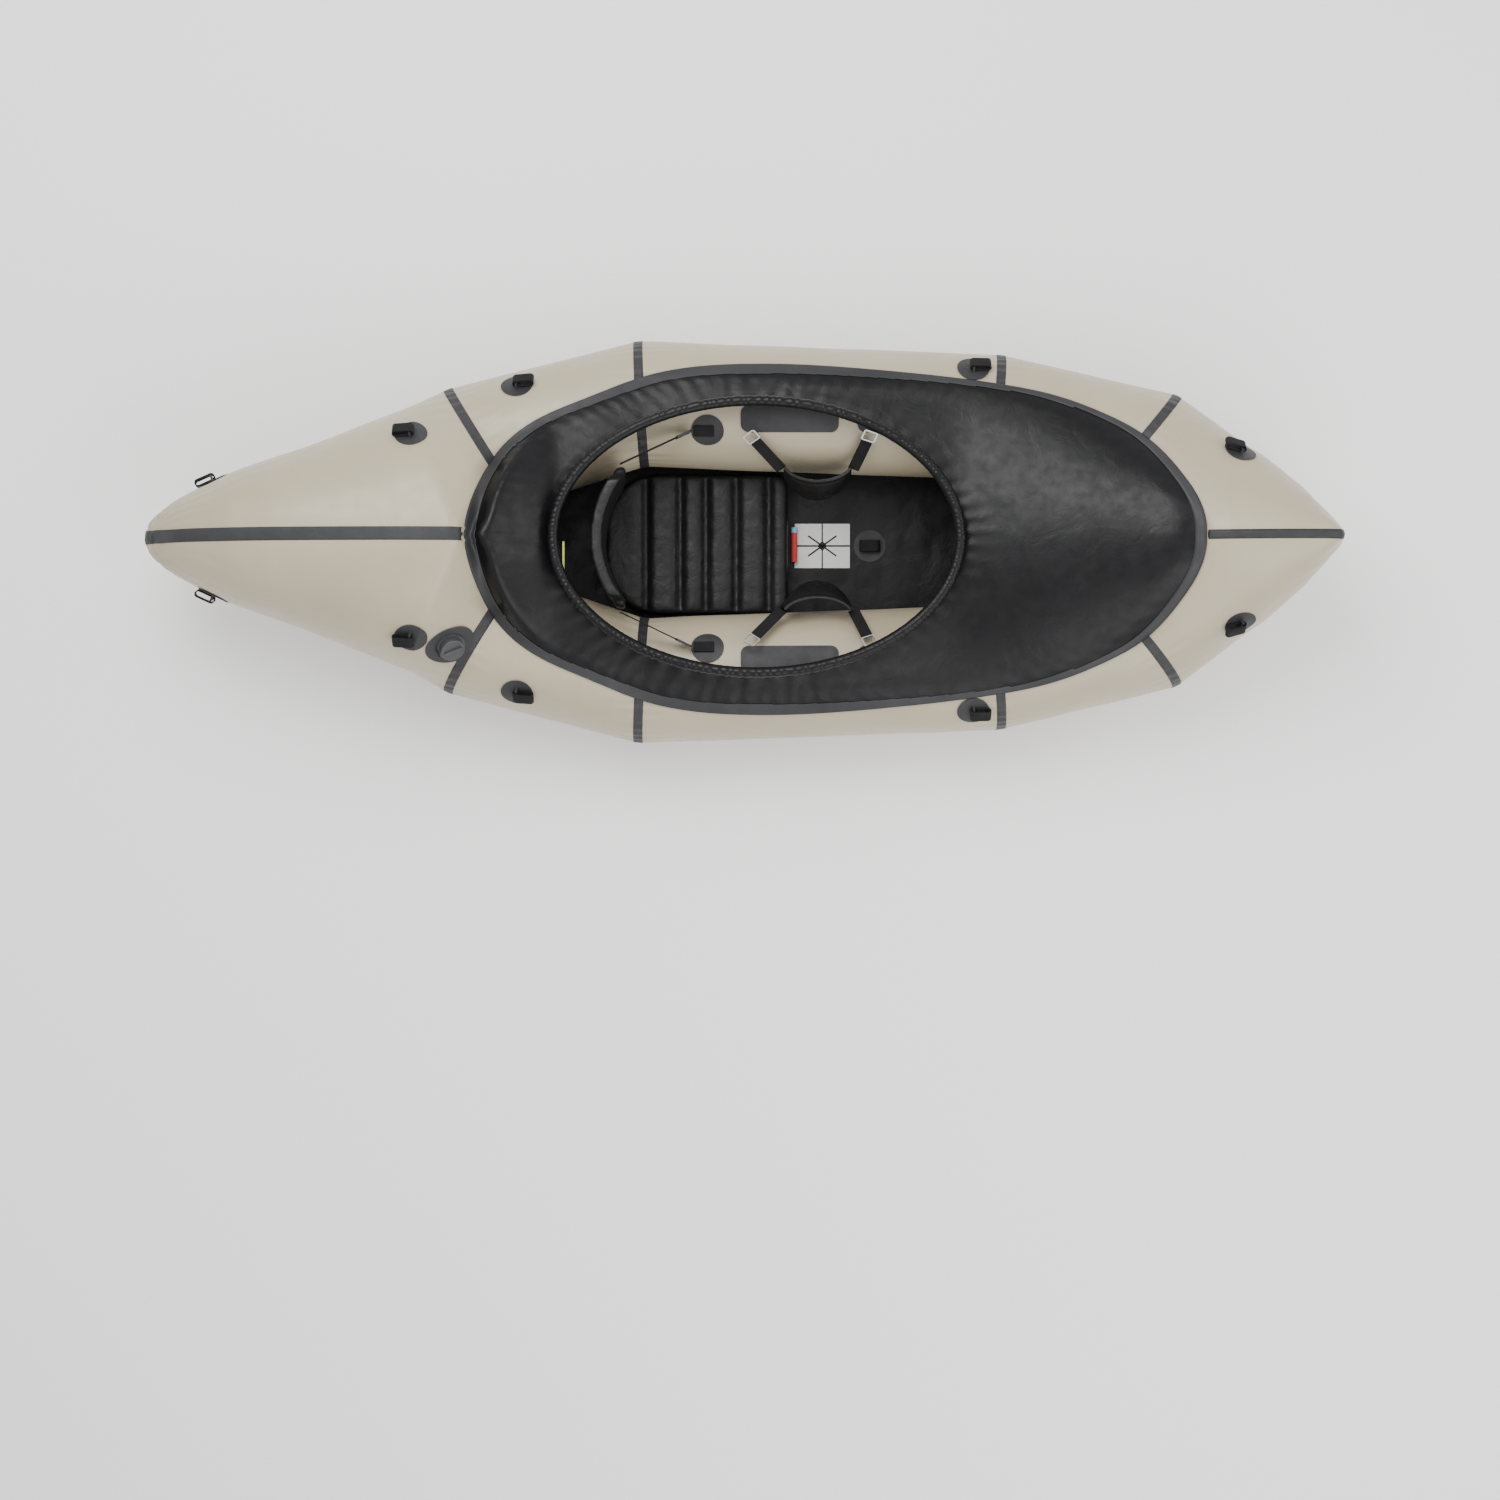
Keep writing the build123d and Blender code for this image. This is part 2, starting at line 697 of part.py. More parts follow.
# Backrest anchors: a round patch on each side tube, a tab of webbing and a ring buckle.
place, normal = touch("side_tube", (-71, 232, 262), 90)
anchor_at = frame_at(place, normal, (1, 0, 0))
anchor_lift = skin + air + strap_thickness / 2
with BuildPart() as anchor_patch:
    add(surface_patch("side_tube", anchor_at, 2 * patch_radius, 2 * patch_radius, patch_radius - 0.5))
with BuildPart() as anchor_tab:
    with BuildSketch(anchor_at.offset(skin + air)):
        with Locations((-8, 0)):
            RectangleRounded(44, strap_width, 3)
    extrude(amount=strap_thickness)
    add(outer["side_tube"], mode=Mode.SUBTRACT)
    add(anchor_patch.part, mode=Mode.SUBTRACT)
save(both_sides(anchor_patch.part), "backrest_anchor_patches")
save(both_sides(anchor_tab.part), "backrest_anchor_tabs")
tab_end = anchor_at.from_local_coords((-34, 0, skin + air + strap_thickness / 2))
backrest_corner = Vector(backrest_front_x - 12, backrest_shoulder + 8, backrest_top - 50)
run = (backrest_corner - tab_end).normalized()
buckle_length = 34.0
buckle_start = tab_end + run * 3 + Vector(0, 0, 11)
strap_start = buckle_start + run * (buckle_length + 1)
with BuildPart() as backrest_strap:
    add(strap_between(strap_start, backrest_corner, strap_width - 5, strap_thickness, (0, 0, 1)))
save(backrest_strap.part, "backrest_strap_port")
save(starboard(backrest_strap.part), "backrest_strap_starboard")
lock_side = Vector(0, 0, 1) - run * run.Z
lock_at = Plane(origin=buckle_start + run * buckle_length / 2, x_dir=run, z_dir=run.cross(lock_side))
with BuildPart() as ladder_lock:
    with BuildSketch(lock_at):
        RectangleRounded(buckle_length, strap_width + 6, 4)
        with Locations((-9, 0), (9, 0)):
            SlotOverall(strap_width - 3, 6, rotation=90, mode=Mode.SUBTRACT)
    extrude(amount=2.5, both=True)
save(both_sides(ladder_lock.part), "ladder_locks")
print("STRAP", tuple(strap_start), tuple(backrest_corner))

# Thigh straps: two long patches on each tube, hooks, webbing and a wide curved pad.
pad_rear_x = 95.0
pad_front_x = 235.0
pad_outer_y = 144.0
pad_inner_y = 106.0
pad_z = 208.0
pad_height = 62.0
pad_thickness = 7.0
hook_z = 280.0
hook_y = 208.0
with BuildPart() as thigh_pad:
    with BuildSketch(Plane.XY.offset(pad_z)):
        with BuildLine():
            ThreePointArc(
                (pad_rear_x, pad_outer_y),
                ((pad_rear_x + pad_front_x) / 2, pad_inner_y),
                (pad_front_x, pad_outer_y),
            )
            offset(amount=pad_thickness / 2, side=Side.BOTH)
        make_face()
    extrude(amount=pad_height)
save(thigh_pad.part, "thigh_pad_port")
save(starboard(thigh_pad.part), "thigh_pad_starboard")

thigh_patches = []
hook_frames = []
for patch_x, patch_length in ((105, 210), (300, 100)):
    place, normal = touch("side_tube", (patch_x, 256, 270), 90)
    at = frame_at(place, normal, (1, 0, 0))
    thigh_patches.append(surface_patch("side_tube", at, patch_length, 58, 18))
    hook_frames.append(at)
with BuildPart() as patches_pair:
    for patch in thigh_patches:
        add(patch)
    mirror(about=Plane.XZ)
save(patches_pair.part, "thigh_strap_patches")

hook_wire = 3.0
hook_length = 26.0
pad_mid_z = pad_z + pad_height / 2
thigh_runs = (
    ((32, hook_y, hook_z), (pad_rear_x - 7, pad_outer_y + 7, pad_mid_z)),
    ((270, hook_y, hook_z), (pad_front_x + 7, pad_outer_y + 7, pad_mid_z)),
)
straps = []
hooks = []
tabs = []
for top, bottom in thigh_runs:
    straps.append(strap_between(top, bottom, strap_width, strap_thickness, (1, 0, 0)))
    down = (Vector(*bottom) - Vector(*top)).normalized()
    across = Vector(1, 0, 0) - down * down.X
    back = Vector(*top) - down * (hook_length / 2 + 1)
    hook_at = Plane(origin=back, x_dir=down, z_dir=down.cross(across))
    with BuildPart() as hook:
        with BuildSketch(hook_at):
            RectangleRounded(hook_length, strap_width + 6, 5)
            RectangleRounded(hook_length - 2 * hook_wire, strap_width, 3, mode=Mode.SUBTRACT)
        extrude(amount=hook_wire / 2, both=True)
    hooks.append(hook.part)
with BuildPart() as strap_pair:
    for strap in straps:
        add(strap)
with BuildPart() as hook_pair:
    for hook in hooks:
        add(hook)
save(strap_pair.part, "thigh_webbing_port")
save(starboard(strap_pair.part), "thigh_webbing_starboard")
save(both_sides(hook_pair.part), "thigh_strap_hooks")

# ---------------------------------------------------------------- what lies on the floor
anchor_x = 285.0
with BuildPart() as floor_anchor:
    with BuildSketch(Plane.XY.offset(sheet)):
        with Locations((anchor_x, 0)):
            Circle(patch_radius)
    extrude(amount=skin)
save(floor_anchor.part, "floor_anchor_patch")
with BuildPart() as floor_tab:
    with BuildSketch(Plane.XZ.offset(-loop_width / 2)):
        with Locations((anchor_x, sheet + skin + air + loop_gap / 2 + loop_wall)):
            SlotCenterToCenter(loop_run, loop_gap + 2 * loop_wall)
            SlotCenterToCenter(loop_run, loop_gap, mode=Mode.SUBTRACT)
    extrude(amount=loop_width)
save(floor_tab.part, "floor_anchor_loop")

card_x = 180.0
card_length = 124.0
card_width = 100.0
card_stack = 3.0
with BuildPart() as cards:
    with BuildSketch(Plane.XY.offset(sheet + air)):
        with Locations((card_x, 0)):
            RectangleRounded(card_length, card_width, 6)
    extrude(amount=card_stack)
save(cards.part, "care_cards")

mouth_tube_radius = 6.5
mouth_tube_wall = 2.0
mouth_tube_length = 64.0
mouth_tube_y = -36.0
mouth_cap_length = 12.0
mouth_tube_x = card_x - card_length / 2
mouth_tube_z = sheet + air + 4.8 + mouth_tube_radius
with BuildPart() as mouth_tube:
    with BuildSketch(Plane(origin=(mouth_tube_x, mouth_tube_y, mouth_tube_z), z_dir=(0, 1, 0))):
        Circle(mouth_tube_radius)
        Circle(mouth_tube_radius - mouth_tube_wall, mode=Mode.SUBTRACT)
    extrude(amount=mouth_tube_length)
save(mouth_tube.part, "mouth_tube")
with BuildPart() as mouth_cap:
    mouth_cap_y = mouth_tube_y + mouth_tube_length + air
    with BuildSketch(Plane(origin=(mouth_tube_x, mouth_cap_y, mouth_tube_z), z_dir=(0, 1, 0))):
        Circle(mouth_tube_radius + 1)
    extrude(amount=mouth_cap_length)
save(mouth_cap.part, "mouth_tube_cap")

# ---------------------------------------------------------------- pull tab inside the coaming
tab_reach = 30.0
tab_plate = 3.0
tab_top = coaming_z + coaming_half_length * math.sin(math.radians(coaming_pitch)) - 22
tab_x = coaming_x - coaming_half_length + riser_wall / 2
with BuildPart() as pull_tab:
    with BuildSketch(Plane(origin=(tab_x + 20, -40, tab_top - 3), x_dir=(0, 1, 0), z_dir=(1, 0, 0))):
        with Locations((0, -tab_reach / 2)):
            RectangleRounded(62, tab_reach, 8)
    extrude(amount=tab_plate / 2, both=True)
save(pull_tab.part, "pull_tab")
print("TAB", tab_x + 20, tab_top - 3)

# ---------------------------------------------------------------- seam tapes, trimmed
valve_cover = starboard(valve_patch.part)
valve_core = starboard(valve_body.part)
for label, tapes in seam_tapes.items():
    with BuildPart() as trimmed:
        add(tapes)
        add(floor.part, mode=Mode.SUBTRACT)
        add(deck.part, mode=Mode.SUBTRACT)
        add(deck_rim.part, mode=Mode.SUBTRACT)
        add(valve_cover, mode=Mode.SUBTRACT)
        add(valve_core, mode=Mode.SUBTRACT)
    save(trimmed.part, label)
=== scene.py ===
"""Inflatable kayak: the looks of every piece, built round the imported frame.

Metres, +X to the bow, +Y to port, +Z up.
"""
import json
import logging
import math
import random
from dataclasses import dataclass, field
from enum import Enum
from typing import Callable, Iterable, Optional

import bmesh
import bpy
from mathutils import Matrix, Vector, noise
from mathutils.bvhtree import BVHTree


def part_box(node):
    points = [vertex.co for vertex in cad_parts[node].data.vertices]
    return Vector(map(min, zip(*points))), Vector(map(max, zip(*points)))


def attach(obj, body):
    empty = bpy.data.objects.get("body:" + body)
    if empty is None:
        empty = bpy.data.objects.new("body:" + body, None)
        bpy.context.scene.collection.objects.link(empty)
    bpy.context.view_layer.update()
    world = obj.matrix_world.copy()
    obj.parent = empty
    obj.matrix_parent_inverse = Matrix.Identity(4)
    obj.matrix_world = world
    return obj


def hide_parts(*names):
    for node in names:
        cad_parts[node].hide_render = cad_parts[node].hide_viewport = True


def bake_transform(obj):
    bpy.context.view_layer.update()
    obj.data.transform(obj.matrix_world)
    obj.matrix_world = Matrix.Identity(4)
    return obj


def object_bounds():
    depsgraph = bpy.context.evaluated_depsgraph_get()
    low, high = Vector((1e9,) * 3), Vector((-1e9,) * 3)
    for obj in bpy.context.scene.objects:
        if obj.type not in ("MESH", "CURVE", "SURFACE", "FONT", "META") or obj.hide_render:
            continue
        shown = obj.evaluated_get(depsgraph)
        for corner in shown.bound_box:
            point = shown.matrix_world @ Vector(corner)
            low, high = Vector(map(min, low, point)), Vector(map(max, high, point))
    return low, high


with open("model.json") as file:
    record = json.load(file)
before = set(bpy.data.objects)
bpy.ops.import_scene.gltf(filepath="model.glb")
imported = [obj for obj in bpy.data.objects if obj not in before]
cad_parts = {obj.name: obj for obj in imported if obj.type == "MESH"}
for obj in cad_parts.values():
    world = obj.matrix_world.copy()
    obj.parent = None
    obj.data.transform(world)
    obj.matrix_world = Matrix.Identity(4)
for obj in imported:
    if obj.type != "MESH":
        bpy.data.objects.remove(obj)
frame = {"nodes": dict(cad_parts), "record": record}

log = logging.getLogger("kayak")
CAD_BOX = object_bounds()
NODES = frame["nodes"]


class Surface(Enum):
    """The kinds of fine texture that a finish can carry."""

    COATED = "coated fabric"
    WOVEN = "woven webbing"
    MOULDED = "moulded plastic"
    BRUSHED = "brushed metal"
    CARD = "card"


@dataclass(frozen=True)
class Finish:
    """A finish: its colour, gloss and fine texture.

    Attributes:
        name: the material's name.
        colour: the main linear colour.
        worn: the colour it drifts to in patches.
        roughness: the middle of its roughness.
        surface: the kind of fine texture.
        wrinkle: strength of the soft, broad creases in the bump, 0 for none.
        wrinkle_scale: creases to the metre.
        metallic: 1 for bare metal.
        coat: strength of a clear, glossy film on top.
        sheen: strength of a soft edge glow.
        specular: strength of the reflection, 0.5 for most plastics.
    """

    name: str
    colour: tuple[float, float, float]
    worn: tuple[float, float, float]
    roughness: float
    surface: Surface
    wrinkle: float = 0.0
    wrinkle_scale: float = 18.0
    metallic: float = 0.0
    coat: float = 0.0
    sheen: float = 0.0
    specular: float = 0.5

    def material(self) -> bpy.types.Material:
        """Return the node material, made on first use."""
        known = bpy.data.materials.get(self.name)
        return known if known else self._build()

    def _build(self) -> bpy.types.Material:
        """Build the node tree."""
        mat = bpy.data.materials.new(self.name)
        mat.use_nodes = True
        tree = mat.node_tree
        shader = tree.nodes["Principled BSDF"]
        shader.inputs["Metallic"].default_value = self.metallic
        shader.inputs["Coat Weight"].default_value = self.coat
        shader.inputs["Specular IOR Level"].default_value = self.specular
        shader.inputs["Coat Roughness"].default_value = 0.22
        shader.inputs["Sheen Weight"].default_value = self.sheen
        coords = tree.nodes.new("ShaderNodeTexCoord").outputs["Object"]
        drift = self._noise(tree, coords, 5.0, 6.0, 0.6)
        mix = tree.nodes.new("ShaderNodeMix")
        mix.data_type = "RGBA"
        mix.inputs["A"].default_value = (*self.colour, 1)
        mix.inputs["B"].default_value = (*self.worn, 1)
        tree.links.new(self._stretch(tree, drift, 0.35, 0.68, 0, 1), mix.inputs["Factor"])
        tree.links.new(mix.outputs["Result"], shader.inputs["Base Color"])
        patches = self._noise(tree, coords, 38.0, 3.0, 0.5)
        low, high = self.roughness - 0.07, self.roughness + 0.09
        tree.links.new(self._stretch(tree, patches, 0.3, 0.7, low, high), shader.inputs["Roughness"])
        normal = None
        if self.wrinkle:
            creases = self._noise(tree, coords, self.wrinkle_scale, 4.0, 0.55, distortion=0.8)
            normal = self._bump(tree, creases, self.wrinkle, 0.006, normal)
        normal = self._bump(tree, self._grain(tree, coords), 0.25, 0.0004, normal)
        tree.links.new(normal, shader.inputs["Normal"])
        return mat

    def _grain(self, tree: bpy.types.NodeTree, coords: bpy.types.NodeSocket) -> bpy.types.NodeSocket:
        """Return the height of the fine texture."""
        if self.surface is Surface.WOVEN:
            across = self._wave(tree, coords, 420.0, "X")
            along = self._wave(tree, coords, 420.0, "Y")
            mix = tree.nodes.new("ShaderNodeMath")
            mix.operation = "MULTIPLY"
            tree.links.new(across, mix.inputs[0])
            tree.links.new(along, mix.inputs[1])
            return mix.outputs[0]
        if self.surface is Surface.BRUSHED:
            return self._noise(tree, coords, 900.0, 2.0, 0.5)
        if self.surface is Surface.COATED:
            return self._noise(tree, coords, 700.0, 2.0, 0.6)
        return self._noise(tree, coords, 1200.0, 1.0, 0.4)

    @staticmethod
    def _noise(tree, coords, scale: float, detail: float, rough: float, distortion: float = 0.0):
        """Add a noise texture and return its value."""
        node = tree.nodes.new("ShaderNodeTexNoise")
        node.inputs["Scale"].default_value = scale
        node.inputs["Detail"].default_value = detail
        node.inputs["Roughness"].default_value = rough
        node.inputs["Distortion"].default_value = distortion
        tree.links.new(coords, node.inputs["Vector"])
        return node.outputs["Fac"]

    @staticmethod
    def _wave(tree, coords, scale: float, direction: str):
        """Add a band texture and return its value."""
        node = tree.nodes.new("ShaderNodeTexWave")
        node.bands_direction = direction
        node.inputs["Scale"].default_value = scale
        tree.links.new(coords, node.inputs["Vector"])
        return node.outputs["Fac"]

    @staticmethod
    def _stretch(tree, value, a: float, b: float, low: float, high: float):
        """Map a range of values to another one and return the result."""
        node = tree.nodes.new("ShaderNodeMapRange")
        node.inputs["From Min"].default_value = a
        node.inputs["From Max"].default_value = b
        node.inputs["To Min"].default_value = low
        node.inputs["To Max"].default_value = high
        tree.links.new(value, node.inputs["Value"])
        return node.outputs["Result"]

    @staticmethod
    def _bump(tree, height, strength: float, distance: float, below):
        """Add a bump on top of another one and return the normal."""
        node = tree.nodes.new("ShaderNodeBump")
        node.inputs["Strength"].default_value = strength
        node.inputs["Distance"].default_value = distance
        tree.links.new(height, node.inputs["Height"])
        if below is not None:
            tree.links.new(below, node.inputs["Normal"])
        return node.outputs["Normal"]


TAN = Finish("tan_hull_fabric", (0.405, 0.352, 0.248), (0.375, 0.325, 0.225), 0.40, Surface.COATED,
             wrinkle=0.16, wrinkle_scale=14.0, coat=0.12, sheen=0.04)
BLACK = Finish("black_deck_fabric", (0.0035, 0.0035, 0.004), (0.006, 0.006, 0.007), 0.34,
               Surface.COATED, wrinkle=0.22, wrinkle_scale=16.0, specular=0.22)
TAPE = Finish("grey_seam_tape", (0.022, 0.022, 0.024), (0.034, 0.034, 0.036), 0.50,
              Surface.COATED, wrinkle=0.15, wrinkle_scale=40.0, specular=0.3)
PAD = Finish("black_pad_fabric", (0.0055, 0.0055, 0.006), (0.010, 0.010, 0.011), 0.46,
             Surface.COATED, wrinkle=0.4, wrinkle_scale=30.0, specular=0.3)
WEBBING = Finish("black_webbing", (0.006, 0.006, 0.0065), (0.011, 0.011, 0.012), 0.72,
                 Surface.WOVEN, specular=0.2)
STEEL = Finish("buckle_steel", (0.60, 0.60, 0.61), (0.50, 0.50, 0.51), 0.30, Surface.BRUSHED, metallic=1.0)
PLASTIC = Finish("black_plastic", (0.015, 0.015, 0.016), (0.022, 0.022, 0.023), 0.42, Surface.MOULDED)
FIN = Finish("grey_fin_plastic", (0.035, 0.036, 0.040), (0.050, 0.051, 0.054), 0.40, Surface.MOULDED)
LIME = Finish("lime_tape", (0.52, 0.62, 0.05), (0.46, 0.55, 0.05), 0.62, Surface.WOVEN, sheen=0.2)
CARD = Finish("blank_card", (0.70, 0.70, 0.68), (0.62, 0.62, 0.61), 0.55, Surface.CARD)
RED = Finish("red_tube", (0.45, 0.02, 0.02), (0.36, 0.015, 0.015), 0.38, Surface.MOULDED)
BLUE = Finish("pale_blue_cap", (0.25, 0.50, 0.66), (0.22, 0.44, 0.60), 0.40, Surface.MOULDED)

SLOT_FINISHES = {
    "hull_fabric": TAN,
    "deck_fabric": BLACK,
    "seam_tape": TAPE,
    "pad_fabric": PAD,
    "webbing": WEBBING,
    "buckle_metal": STEEL,
    "buckle_plastic": PLASTIC,
    "valve_plastic": FIN,
    "fin_plastic": FIN,
    "tab_fabric": LIME,
    "card": CARD,
    "red_tube": RED,
    "blue_cap": BLUE,
    "hoop_rod": PLASTIC,
}


@dataclass
class Workshop:
    """Turns meshes into pieces: naming, dressing, riding and hiding the CAD nodes that they stand for."""

    made: list[bpy.types.Object] = field(default_factory=list)

    def piece(
        self,
        name: str,
        bm: bmesh.types.BMesh,
        finish: Finish,
        slot: str,
        body: Optional[str],
        replaces: Iterable[str] = (),
        smooth: bool = True,
    ) -> bpy.types.Object:
        """Make an object of a bmesh, dress it and fasten it to a body.

        Args:
            name: the piece's name.
            bm: its shape, freed here.
            finish: its finish.
            slot: the record's material slot; not used.
            body: the body that it rides on, or None for a piece that runs between two bodies and rides on
                neither.
            replaces: the CAD nodes that it stands for.
            smooth: whether its faces are shaded smooth.

        Returns:
            The new object.
        """
        mesh = bpy.data.meshes.new(name)
        bm.to_mesh(mesh)
        bm.free()
        obj = bpy.data.objects.new(name, mesh)
        bpy.context.scene.collection.objects.link(obj)
        if smooth:
            mesh.shade_smooth()
        mesh.materials.append(finish.material())
        if body is not None:
            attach(obj, body)
        if replaces:
            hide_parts(*replaces)
        self.made.append(obj)
        log.info("%s: %d faces", name, len(mesh.polygons))
        return obj

    def node_bmesh(self, node: str) -> bmesh.types.BMesh:
        """Return a merged copy of a CAD node's mesh."""
        bm = bmesh.new()
        bm.from_mesh(NODES[node].data)
        bmesh.ops.remove_doubles(bm, verts=bm.verts, dist=1e-5)
        return bm

    def dress_frame(self) -> None:
        """Give every CAD node the finish of its material slot."""
        for part in frame["record"]["subparts"]:
            finish = SLOT_FINISHES[part["material_slot"]]
            mesh = NODES[part["node"]].data
            mesh.materials.clear()
            mesh.materials.append(finish.material())


def remeshed(bm: bmesh.types.BMesh, voxel: float) -> bmesh.types.BMesh:
    """Return the union of closed shapes as an even skin of small quads.

    Args:
        bm: closed shapes, freed here.
        voxel: the size of the quads.
    """
    mesh = bpy.data.meshes.new("remesh")
    bm.to_mesh(mesh)
    bm.free()
    obj = bpy.data.objects.new("remesh", mesh)
    bpy.context.scene.collection.objects.link(obj)
    mod = obj.modifiers.new("Remesh", "REMESH")
    mod.mode = "VOXEL"
    mod.voxel_size = voxel
    depsgraph = bpy.context.evaluated_depsgraph_get()
    out = bmesh.new()
    out.from_object(obj, depsgraph)
    bpy.data.objects.remove(obj)
    bpy.data.meshes.remove(mesh)
    return out


def smooth(bm: bmesh.types.BMesh, rounds: int, factor: float = 0.5) -> None:
    """Relax a mesh evenly."""
    for _ in range(rounds):
        bmesh.ops.smooth_vert(
            bm, verts=bm.verts, factor=factor, use_axis_x=True, use_axis_y=True, use_axis_z=True,
        )


@dataclass(frozen=True)
class Seam:
    """A round seam of the hull: where its plane crosses the port tube's axis and how it turns.

    Attributes:
        x, y, z: the middle of the port circle.
        turn: degrees that the plane is turned about Z on the port side.
    """

    x: float
    y: float
    z: float
    turn: float

    def distance(self, p: Vector) -> float:
        """Return the signed distance of a point from the plane, for either side."""
        a = math.radians(self.turn)
        return (p.x - self.x) * math.cos(a) + (abs(p.y) - self.y) * math.sin(a)

    def angle(self, p: Vector) -> float:
        """Return the point's angle round the tube."""
        a = math.radians(self.turn)
        out = -(p.x - self.x) * math.sin(a) + (abs(p.y) - self.y) * math.cos(a)
        return math.atan2(p.z - self.z, out)


# How far each seam's plane is turned about Z on the port side, in degrees.
SEAM_TURNS = {
    "stern_seam_tapes": 32.0,
    "rear_seam_tapes": 3.0,
    "front_seam_tapes": -6.0,
    "bow_seam_tapes": -40.0,
}


@dataclass
class Hull:
    """The blown-up hull: two side tubes that meet in the stern and the bow."""

    shop: Workshop
    voxel: float = 0.0075
    pucker_depth: float = 0.0032
    pucker_reach: float = 0.050
    puckers_around: float = 34
    tape_width: float = 0.020
    sharp: float = math.radians(40)
    shoulders: tuple[tuple[float, float], ...] = ((-0.60, -0.46), (0.93, 1.02))
    shoulder_rounds: int = 24
    tree: Optional[BVHTree] = None

    def seams(self) -> list[Seam]:
        """Work out the four seams of a side from the frame's seam tapes."""
        found = []
        for node, turn in SEAM_TURNS.items():
            bm = self.shop.node_bmesh(node)
            port = [v.co for v in bm.verts if v.co.y > 0]
            low = Vector([min(c[i] for c in port) for i in range(3)])
            high = Vector([max(c[i] for c in port) for i in range(3)])
            middle = (low + high) / 2
            found.append(Seam(middle.x, middle.y, middle.z, turn))
            bm.free()
        return found

    def outer_skin(self, node: str) -> bmesh.types.BMesh:
        """Return a panel's outside only, closed over its open edges.

        The outside is the largest stretch of faces that no sharp edge parts.
        """
        bm = self.shop.node_bmesh(node)
        bm.normal_update()
        seen: set[int] = set()
        best: list[bmesh.types.BMFace] = []
        best_area = 0.0
        for first in bm.faces:
            if first.index in seen:
                continue
            seen.add(first.index)
            stretch, queue = [], [first]
            while queue:
                face = queue.pop()
                stretch.append(face)
                for edge in face.edges:
                    if not edge.is_manifold or edge.calc_face_angle(0) > self.sharp:
                        continue
                    for other in edge.link_faces:
                        if other.index not in seen:
                            seen.add(other.index)
                            queue.append(other)
            area = sum(face.calc_area() for face in stretch)
            if area > best_area:
                best, best_area = stretch, area
        keep = {face.index for face in best}
        inner = [face for face in bm.faces if face.index not in keep]
        bmesh.ops.delete(bm, geom=inner, context="FACES")
        edges = [e for e in bm.edges if e.is_boundary]
        bmesh.ops.holes_fill(bm, edges=edges, sides=0)
        bmesh.ops.triangulate(bm, faces=[f for f in bm.faces if len(f.verts) > 4])
        return bm

    def build(self) -> None:
        """Blend all panels into one skin, crease it and part it at the seams."""
        names = ("stern", "rear_quarter", "side_tube", "front_quarter", "bow")
        whole = bmesh.new()
        mesh = bpy.data.meshes.new("panel")
        for name in names:
            for side in ("port", "starboard"):
                panel = self.outer_skin(f"{name}_{side}")
                panel.to_mesh(mesh)
                panel.free()
                whole.from_mesh(mesh)
        skin = remeshed(whole, self.voxel)
        smooth(skin, 6)
        self.soften(skin)
        self.crease(skin)
        self.tree = ray_tree(skin)
        seams = self.seams()
        for node, seam in zip(SEAM_TURNS, seams):
            self.ring_tape(skin, node, seam)
        self.end_tape(skin, "stern")
        self.end_tape(skin, "bow")
        self.part(skin, seams)

    def soften(self, skin: bmesh.types.BMesh) -> None:
        """Round the shoulders where the tubes run into the stern and the bow."""
        high = CAD_BOX[1][2]
        for start, end in self.shoulders:
            near = [v for v in skin.verts if start < v.co.x < end and v.co.z > 0.55 * high]
            for _ in range(self.shoulder_rounds):
                bmesh.ops.smooth_vert(
                    skin, verts=near, factor=0.5, use_axis_x=True, use_axis_y=True, use_axis_z=True,
                )

    def ring_tape(self, skin: bmesh.types.BMesh, node: str, seam: Seam) -> None:
        """Lay a seam's tape on both tubes, over the creases.

        Args:
            skin: the creased hull.
            node: the CAD node of the pair of tapes.
            seam: where the seam is.
        """
        half = self.tape_width / 2
        for side, word in ((1, "port"), (-1, "starboard")):
            bm = skin.copy()
            far = [f for f in bm.faces if self.off_band(f, seam, side)]
            bmesh.ops.delete(bm, geom=far, context="FACES")
            a = math.radians(seam.turn)
            normal = Vector((math.cos(a), side * math.sin(a), 0))
            centre = Vector((seam.x, side * seam.y, 0))
            self.trim(bm, centre + normal * half, normal)
            self.trim(bm, centre - normal * half, -normal)
            self.lay(bm, f"{node}_{word}", [node])

    def off_band(self, face: bmesh.types.BMFace, seam: Seam, side: int) -> bool:
        """Return whether a face is away from one side's seam."""
        c = face.calc_center_median()
        return c.y * side < 0 or abs(seam.distance(c)) > 3 * self.tape_width

    def end_tape(self, skin: bmesh.types.BMesh, end: str) -> None:
        """Lay the tape over the centre seam of the stern or the bow."""
        node = f"{end}_centre_tape"
        low, high = (Vector(c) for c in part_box(node))
        half = (high.y - low.y) / 2
        if end == "bow":
            half *= 0.7
        bm = skin.copy()
        far = []
        for face in bm.faces:
            c = face.calc_center_median()
            inside = low.x - 0.002 < c.x < high.x + 0.004
            if not inside or abs(c.y) > half + 0.02 or c.z < low.z - 0.001:
                far.append(face)
        bmesh.ops.delete(bm, geom=far, context="FACES")
        self.trim(bm, Vector((0, half, 0)), Vector((0, 1, 0)))
        self.trim(bm, Vector((0, -half, 0)), Vector((0, -1, 0)))
        self.lay(bm, f"{node}_laid", [node])

    @staticmethod
    def trim(bm: bmesh.types.BMesh, point: Vector, outwards: Vector) -> None:
        """Cut away what is past a plane."""
        geom = bm.verts[:] + bm.edges[:] + bm.faces[:]
        bmesh.ops.bisect_plane(bm, geom=geom, dist=1e-6, plane_co=point, plane_no=outwards, clear_outer=True)

